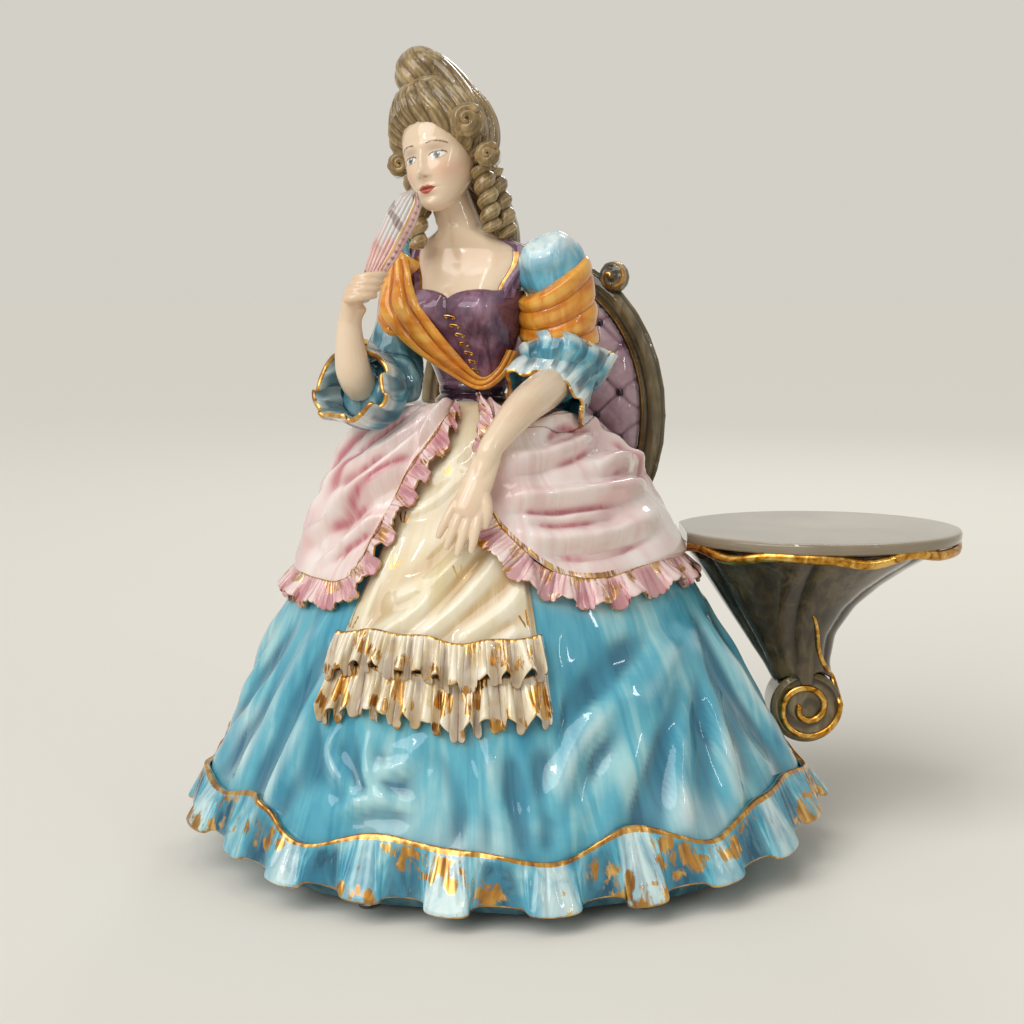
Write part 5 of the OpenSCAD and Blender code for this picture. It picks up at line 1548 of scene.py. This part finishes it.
def make_left_forearm():
    start = ARM_L[-1, :3]
    way = unit(PALM_L - WRIST_L)
    up = skirt_out(np.array(float(FRONT)), out(36.5))
    side = unit(np.cross(up, way))
    parts = [
        limb([
            ball(start + [2, 4, 2], 9), ball(mix(start, WRIST_L, 0.2) + [0, -3, 2], 9.6),
            ball(mix(start, WRIST_L, 0.55) + [0, -5, 4], 8.4), ball(WRIST_L, 5.9), ball(WRIST_L + way * 9, 5.2),
            ball(PALM_L, 3),
        ], (1, 0, 0)),
        limb([
            ball(WRIST_L - way * 5, 4), ball(WRIST_L + way * 7, 6.2), ball(PALM_L - way * 2, 7.4),
            ball(PALM_L + way * 5, 7.4), ball(PALM_L + way * 8, 5.6),
        ], up, 0.58),
    ]
    for i in range(4):
        spread = 1.5 - i
        root = PALM_L + way * (3 - abs(i - 1.4)) + side * spread * 3.7
        reach = 23 - abs(i - 1.3) * 2.4
        aim = unit(way + side * spread * 0.1)
        parts.append(limb([
            ball(root, 2.6), ball(root + aim * reach * 0.4 + up, 2.4),
            ball(root + aim * reach * 0.75 + up * 0.1, 2.0), ball(root + aim * reach - up * 2.2, 1.4),
        ], side))
    parts.append(limb([
        ball(PALM_L - way * 5 + side * 4.5, 3.2), ball(PALM_L + way * 1.5 + side * 8.6, 2.8),
        ball(PALM_L + way * 9 + side * 9.8 - up * 2.2, 1.8),
    ], up))

    def knuckles(p, n):
        near = hump(np.linalg.norm(p - (PALM_L + way * 5 + up * 3), axis=1) / 7)
        return np.zeros(len(p)), {"pool": 0.25 * near}

    obj = formed(clay(joined("forearm_left_hand", parts), 0.54, 3), knuckles)
    hand_over(obj, FLESH, "flesh_glaze", "forearm_left")


def make_right_forearm():
    start = ARM_R[-1, :3]
    lift = np.array([0, -1.0, 0])
    across = unit(np.cross(FAN_DIR, lift))
    grip = FAN_FOOT - FAN_DIR
    parts = [
        limb([
            ball(start + [1, 3, 0], 8.4), ball(start + [-3, -7, 11], 8.4), ball(WRIST_R, 5.8),
            ball(PALM_R - [1, 0, 4], 5.8),
        ], (0, 1, 0)),
        limb([
            ball(WRIST_R, 5.6), ball(PALM_R - [3, 0, 3], 7), ball(grip + across * -3 + FAN_DIR * 2, 6.4),
        ], (1, 0, 0), 0.75),
    ]
    for i in range(4):
        root = grip - across * 6.5 + FAN_DIR * (2 - 3.8 * i) + lift * 1.2
        parts.append(limb([
            ball(root, 2.2), ball(root + across * 4 + FAN_DIR * 3 + lift * 3.8, 2.1),
            ball(root + across * 9 + FAN_DIR * 6.6 + lift * 3.2, 1.9),
            ball(root + across * 12 + FAN_DIR * 8.4 - lift * 0.5, 1.4),
        ], FAN_DIR))
    parts.append(limb([
        ball(grip - across * 4 - lift * 2, 3), ball(grip + FAN_DIR * 6 - across * 2 - lift * 3.5, 2.7),
        ball(grip + FAN_DIR * 11 + across - lift * 3.5, 1.9),
    ], lift))

    def plain_skin(p, n):
        return np.zeros(len(p)), {}

    obj = formed(clay(joined("forearm_right_hand", parts), 0.5, 4), plain_skin)
    hand_over(obj, FLESH, "flesh_glaze", "forearm_right")


FAN_L = 61
FAN_W = 15
FAN_T = 6


def make_fan():
    side = unit(np.cross([0, 1, 0], FAN_DIR))
    # Share along the fan and of its width there
    shape = np.array([[0, 0.3], [0.03, 0.5], [0.2, 0.55], [0.45, 0.9], [0.75, 1], [0.92, 0.82], [1, 0.2]])

    def place(s, w):
        turn = 360 * s
        half = FAN_W / 2 * np.interp(w, shape[:, 0], shape[:, 1])
        thin = np.minimum(1, np.minimum(w, 1 - w) / 0.05) ** 0.5
        across = cosd(turn)
        stick = np.abs(np.sin(math.pi * 3.5 * across))
        t = FAN_T / 2 * thin * (0.86 + 0.16 * stick)
        p = FAN_FOOT + FAN_DIR * (FAN_L * w - 8)[:, None]
        p = p + side * (half * across)[:, None] + points(0, t * sind(turn), 0)
        strip = ease((across - 0.42) / 0.08) * ease((w - 0.3) / 0.04)
        plume = ease((w - 0.5) / 0.1 + 0.6 * wobble(p, 9, 92)) * (1 - 0.7 * strip)
        bars = ease((np.sin(TURN * (3.2 * w + 0.35 * across)) + 0.5 * wobble(p, 7, 91) - 0.5) / 0.3) * plume
        grey = np.maximum(plume, ease((0.16 - w) / 0.03))
        dots = strip * ease((np.sin(TURN * 17 * w) - 0.2) / 0.3) * ease((0.16 - np.abs(across - 0.72)) / 0.1)
        ribs = mix(0.85, 0.3, plume) * ease((0.45 - stick) / 0.35) * (1 - strip)
        pool = np.maximum(np.maximum(ribs, dots), 0.75 * bars)
        gold = 0.9 * (np.abs(w - 0.17) < 0.014) + 0.9 * (np.abs(w - 0.23) < 0.012)
        gold = gold + 0.8 * (np.abs(across - 0.42) < 0.05) * (w > 0.3)
        return p, {"pool": pool, "second": grey, "gold": gold}

    obj = grid("fan_sticks", 160, 120, place, (36, FAN_L))
    hand_over(obj, FAN_PAINT, "fan_glaze", "fan")


# Chair back: an upright oval turned to the viewer's left
CHAIR_TURN = 24
RAIL_R = 7
BACK_TOP = WAIST[2] + 76
BACK_LOW = WAIST[2] - OVER_DROP * 0.8
BACK_W = 144
BACK_RX = BACK_W / 2 - RAIL_R
BACK_RZ = (BACK_TOP - RAIL_R - BACK_LOW) * 0.58
BACK_CZ = BACK_TOP - RAIL_R - BACK_RZ
CHAIR_C = WAIST * [1, 1, 0] + turn_z(np.array([4, 74, 0.0]), -CHAIR_TURN)
CHAIR_FRONT = turn_z(np.array([0, -1.0, 0]), -CHAIR_TURN)
# Tufted pad inside the rail
PAD_RX = BACK_RX - RAIL_R
PAD_RZ = BACK_RZ - RAIL_R
PAD_T = 12
TUFT = 24


def on_chair(p):
    return CHAIR_C + turn_z(p, -CHAIR_TURN)


def from_chair(p):
    return turn_z(p - CHAIR_C, CHAIR_TURN)


def make_chair_rail():
    def moulding(p, n):
        q = from_chair(p)
        b = np.arctan2((q[:, 2] - BACK_CZ) / BACK_RZ, q[:, 0] / BACK_RX)
        middle = points(BACK_RX * np.cos(b), 0, BACK_CZ + BACK_RZ * np.sin(b))
        off = q - middle
        away = points(np.cos(b), 0, np.sin(b))
        turn = np.degrees(np.arctan2(-off[:, 1], (off * away).sum(1)))
        groove = hump((turn - 118) / 12) + hump((turn - 20) / 10)
        bead = hump((turn - 142) / 10)
        line = ease((0.55 - np.abs((turn - 142) / 14)) / 0.2)
        # Painted shade in the moulding's grooves
        return -1.1 * groove + 0.7 * bead, {"pool": 0.85 * groove, "gold": 0.9 * line}

    obj = formed(from_solid("chair_rail", "chair_frame", 1.0, 26), moulding)
    hand_over(obj, OLIVE, "olive_glaze", "chair_frame")


def make_chair_pad():
    def tufting(p, n):
        q = from_chair(p)
        x = q[:, 0]
        z = q[:, 2] - BACK_CZ
        k = np.sqrt((x / PAD_RX) ** 2 + (z / PAD_RZ) ** 2)
        one = np.abs(np.cos(math.pi * (x + z) / TUFT))
        two = np.abs(np.cos(math.pi * (x - z) / TUFT))
        pillow = (one * two) ** 0.42
        crown = PAD_T * np.sqrt(np.clip(1 - k**4, 0, 1)) * mix(0.66, 1, pillow)
        facing = n @ CHAIR_FRONT
        front = facing > 0.25
        depth = np.where(front & (k < 0.995), crown + q[:, 1], 0)
        # Painted shade in the tufting's creases and dimples, and a little on the pad's sides
        crease = ease((0.22 - np.minimum(one, two)) / 0.2)
        dimple = ease((0.62 - np.hypot(one, two)) / 0.25)
        pool = np.where(front, 0.75 * crease + 0.6 * dimple, 0.2)
        return np.clip(depth * facing, -4, 4), {"pool": pool}

    obj = formed(from_solid("chair_pad_tufted", "chair_pad", 0.95, 14), tufting)
    hand_over(obj, MAUVE, "mauve_glaze", "chair_pad")

    parts = []
    for i in range(-6, 7):
        for j in range(-6, 7):
            x = TUFT * (i + j + 1) / 2
            z = TUFT * (i - j) / 2
            k = math.hypot(x / PAD_RX, z / PAD_RZ)
            if k > 0.93 or BACK_CZ + z < BACK_LOW + 8:
                continue
            y = -PAD_T * math.sqrt(1 - k**4) * 0.68 - 0.4
            parts.append(button(on_chair(np.array([x, y, BACK_CZ + z]))))
    hand_over(joined("chair_pad_buttons", parts), DARK_PLUM, "dark_plum_glaze")


def make_chair_back():
    def panel(p, n):
        return 0.25 * wobble(p, 18, 81), {"pool": 0.2}

    obj = formed(from_solid("chair_back_plain", "chair_back_panel", 1.5, 3), panel)
    hand_over(obj, OLIVE, "olive_glaze", "chair_back_panel")

    def scroll(p, n):
        q = from_chair(p)
        side = np.sign(q[:, 0])
        c = points(side * (BACK_RX * cosd(52) + 3), -2, BACK_CZ + BACK_RZ * sind(52) + RAIL_R + 3)
        off = q - c
        turn = np.arctan2(off[:, 2], off[:, 0] * side)
        reach = np.hypot(off[:, 0], off[:, 2])
        spiral = np.cos(turn - reach * 0.95)
        front = ease((-off[:, 1] - 1) / 3)
        # Painted shade in the spiral's groove; gold on its crest
        return 0.6 * spiral * front, {"pool": 0.8 * ease(-spiral) * front, "gold": 0.8 * front * (spiral > 0.75)}

    obj = formed(from_solid("chair_scroll_balls", "chair_scrolls", 0.5, 14), scroll)
    hand_over(obj, OLIVE, "olive_glaze", "chair_scrolls")


def button(at):
    """Small domed button pressed into the pad."""
    bm = bmesh.new()
    bmesh.ops.create_uvsphere(bm, u_segments=14, v_segments=8, radius=2.1 * MM)
    mesh = as_mesh("button", bm)
    p = corners(mesh) / MM * [1, 0.6, 1]
    set_corners(mesh, at + turn_z(p, -CHAIR_TURN))
    mark(mesh, {"pool": 0.3})
    return piece("button", mesh)


# Console
TOP_W = 148
TOP_D = 122
TOP_T = 6
TOP_Z = 161
top_low, top_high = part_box("console_top")
CONSOLE = np.array([top_high.x / MM - AXIS[0] - TOP_W / 2, (top_low.y + top_high.y) / 2 / MM - AXIS[1]])
CONSOLE_SEAT = top_low.x / MM - AXIS[0]
scroll_low, scroll_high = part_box("console_scroll")
VOLUTE = np.array((scroll_low + scroll_high) / 2) / MM - AXIS
VOLUTE_R = (scroll_high.x - scroll_low.x) / 2 / MM
VOLUTE_W = (scroll_high.y - scroll_low.y) / MM


def rim_point(turn, inset, z):
    x = CONSOLE[0] + (TOP_W / 2 - inset) * cosd(turn)
    return points(np.maximum(x, CONSOLE_SEAT), CONSOLE[1] + (TOP_D / 2 - inset) * sind(turn), z)


def make_console_top():
    def top(s, w):
        turn = 360 * s
        steps = [0, 0.45, 0.5, 0.55, 0.62, 0.68, 0.72, 1]
        inset = np.interp(w, steps, [70, 3, 1, 0.2, 0, 0.4, 2, 66])
        drop = np.interp(w, steps, [0, 0, 0.25, 1.2, 3, 5, TOP_T, TOP_T])
        inset = np.minimum(inset, TOP_D / 2)
        near = np.clip(1 - inset / (TOP_D / 2), 0, 1)
        x = CONSOLE[0] + (TOP_W / 2 - inset * TOP_W / TOP_D * (near < 0.9) - inset * (near >= 0.9)) * cosd(turn)
        y = CONSOLE[1] + (TOP_D / 2 - inset) * sind(turn)
        p = points(np.maximum(x, CONSOLE_SEAT), y, TOP_Z - drop)
        # Painted shade on the slab's edge and underside
        return p, {"pool": 0.5 * ease((w - 0.5) / 0.05)}

    obj = grid("console_top_slab", 180, 90, top, (420, 150))
    hand_over(obj, TAUPE, "grey_taupe_glaze", "console_top")

    def band(s, w):
        turn = 360 * s
        around = 360 * w
        z = TOP_Z - TOP_T - 2.2 + 1.5 * cosd(7 * turn + 25) + 0.6 * cosd(12 * turn)
        p = rim_point(turn, 2.5 - 2.3 * cosd(around), z + 2.7 * sind(around))
        return p, {}

    obj = grid("console_gilt_band", 420, 16, band, (420, 12))
    hand_over(obj, GILT, "gold_lustre", "console_bead")


def make_console_bracket():
    def flutes(p, n):
        up = np.clip((p[:, 2] - VOLUTE[2]) / (TOP_Z - VOLUTE[2]), 0, 1)
        middle = mix(VOLUTE[:2], CONSOLE, up[:, None]) - points(9 * np.sin(math.pi * up), 0, 0)[:, :2]
        turn = np.degrees(np.arctan2(p[:, 1] - middle[:, 1], p[:, 0] - middle[:, 0]))
        flute = np.abs(cosd(3 * turn + 20)) ** 0.6
        level = ease((0.95 - np.abs(n[:, 2])) / 0.3)
        rise = 2.2 * (flute - 0.7) * ease((up - 0.15) / 0.2) * ease((0.96 - up) / 0.1) * level
        # Painted shade in the flutes
        return rise, {"pool": 0.8 * ease((0.5 - flute) / 0.4) * level}

    bracket = formed(from_solid("console_bracket_fluted", "console_bracket", 1.3, 24), flutes)
    hand_over(bracket, DARK_OLIVE, "dark_olive_glaze", "console_bracket")

    def roll(s, w):
        turn = 360 * s
        steps = [0, 0.34, 0.42, 0.58, 0.66, 1]
        reach = np.interp(w, steps, [0, 0.86, 1, 1, 0.86, 0])
        y = np.interp(w, steps, [-0.46, -0.5, -0.4, 0.4, 0.5, 0.46])
        spiral = np.cos(np.radians(turn) + 1.6 * TURN * reach)
        end = (reach < 0.86) * reach
        y = y * VOLUTE_W + np.sign(y) * (spiral - 1) * end
        p = VOLUTE + points(VOLUTE_R * reach * cosd(turn), y, VOLUTE_R * reach * sind(turn))
        # Painted shade in the spiral's groove
        return p, {"pool": 0.8 * ease(-spiral) * (end > 0)}

    obj = grid("console_scroll_roll", 120, 90, roll, (116, 80))
    hand_over(obj, OLIVE, "olive_glaze", "console_scroll")

    # The gold line runs down the bracket's skin and on round the scroll's end
    skin = mm_corners(bracket.data)
    stem = []
    for share in np.linspace(0, 1, 9):
        way = np.array([cosd(mix(-82, -38, share)), sind(mix(-82, -38, share))])
        level = skin[np.abs(skin[:, 2] - VOLUTE[2] - mix(50, 13, share)) < 1.2]
        stem.append(level[np.argmax(level[:, :2] @ way)] + [*(way * 0.3), 0])
    stem = np.array(stem)
    for _ in range(4):
        stem[1:-1] = (stem[:-2] + 2 * stem[1:-1] + stem[2:]) / 4
    share = np.linspace(0, 1, 60)
    spin = np.radians(12 - 580 * share)
    reach = VOLUTE_R * mix(0.92, 0.2, share)
    face = VOLUTE[1] - VOLUTE_W / 2 + 0.2
    spiral = points(VOLUTE[0] + reach * np.cos(spin), face, VOLUTE[2] + reach * np.sin(spin))
    path = np.concatenate([stem, spiral])

    def thick(w, turn):
        return mix(1.1, 1.8, ease(w * 4))

    obj = cord_tube("console_scroll_line", path, thick, 12, 300, 0.02, flat=0.7)
    hand_over(obj, GILT, "gold_lustre")


def make_plain_nodes():
    for node, material in (("foot_pads", CLEAR), ("base", UNDERSIDE)):
        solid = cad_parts[node]
        solid.data.materials.clear()
        solid.data.materials.append(material)


# Stage: pale floor and backdrop, soft even light and the camera where the photograph was taken from
KEY_WAY = Vector((0.5, 0.62, -0.72)).normalized()


def make_floor():
    bm = bmesh.new()
    bmesh.ops.create_grid(bm, x_segments=2, y_segments=2, size=20)
    floor = stood("floor", as_mesh("floor", bm))
    material, tree = blank_finish("matt pale paper")
    paper = {"Base Color": srgb(PAPER), "Roughness": 1.0, "Specular IOR Level": 0.0}
    floor.data.materials.append(fired(material, tree, paper))


def make_room():
    """Lights the object at a plain level. The backdrop is seen at the level that lights the floor, so that the one
    goes over into the other."""
    room_tint = srgb("#F4F1EA")
    floor_level = ROOM_LIGHT * room_tint[1] - KEY_LIGHT * KEY_WAY.z / math.pi
    world = bpy.data.worlds.new("studio")
    bpy.context.scene.world = world
    world.use_nodes = True
    tree = world.node_tree
    tree.nodes.clear()
    rays = add(tree, "ShaderNodeLightPath")
    seen = rays.outputs["Is Camera Ray"]
    for kind in ("Is Glossy Ray", "Is Transmission Ray"):
        seen = combine(tree, "MAXIMUM", seen, rays.outputs[kind])
    room = add(tree, "ShaderNodeBackground", {"Color": room_tint, "Strength": ROOM_LIGHT})
    backdrop = add(tree, "ShaderNodeBackground", {"Color": srgb(PAPER), "Strength": floor_level})
    feed = {0: seen, 1: room.outputs["Background"], 2: backdrop.outputs["Background"]}
    both = add(tree, "ShaderNodeMixShader", feed)
    add(tree, "ShaderNodeOutputWorld", {"Surface": both.outputs["Shader"]})


def make_lamps():
    key = bpy.data.lights.new("soft key", "SUN")
    key.energy = KEY_LIGHT
    key.angle = math.radians(52)
    stood("soft key", key).rotation_euler = KEY_WAY.to_track_quat("-Z", "Y").to_euler()
    # Each lamp's place and size in metres, and its watts; all look at the object's middle
    for name, at, size, watts in (
        ("left window", (-1.3, -1.5, 1.3), (0.14, 0.4), 2.4),
        ("right strip", (1.2, -1.3, 1.1), (0.05, 0.6), 1.4),
        ("top strip", (-0.1, -0.5, 1.7), (0.05, 0.8), 1.4),
        ("back window", (0.5, 1.6, 1.3), (0.5, 0.4), 3.5),
    ):
        lamp = bpy.data.lights.new(name, "AREA")
        lamp.shape = "RECTANGLE"
        lamp.size, lamp.size_y = size
        lamp.energy = watts
        stand = stood(name, lamp)
        stand.location = at
        aim = -stand.location
        aim.z += 0.2
        stand.rotation_euler = aim.to_track_quat("-Z", "Y").to_euler()


def make_camera():
    # The photograph's view in pixels: the frame's side, the focal length and the horizon's row
    picture = 1024
    focal = 1650
    horizon = 280
    camera = bpy.data.cameras.new("camera")
    camera.sensor_width = 36
    camera.lens = 36 * focal / picture
    camera.clip_start = 0.02
    eye = stood("camera", camera)
    eye.location = (np.array([3, -817, 287]) + AXIS) * MM
    eye.rotation_euler = (math.pi / 2 - math.atan((picture / 2 - horizon) / focal), 0, 0)
    bpy.context.scene.camera = eye
    bpy.context.scene.view_settings.view_transform = "Standard"


for make in (
    make_floor, make_room, make_lamps, make_camera,
    make_skirt, make_hem_flounce, make_apron, make_apron_frills, make_overskirts, make_overskirt_frills,
    make_bodice, make_laces, make_waist_band, make_straps, make_chest, make_head,
    make_hair_crown, make_topknot, make_side_curls, make_ringlets, make_back_hair,
    make_sleeves, make_shawl_wrap, make_shawl_front, make_cuffs, make_left_forearm, make_right_forearm, make_fan,
    make_chair_rail, make_chair_pad, make_chair_back, make_console_top, make_console_bracket, make_plain_nodes,
):
    make()
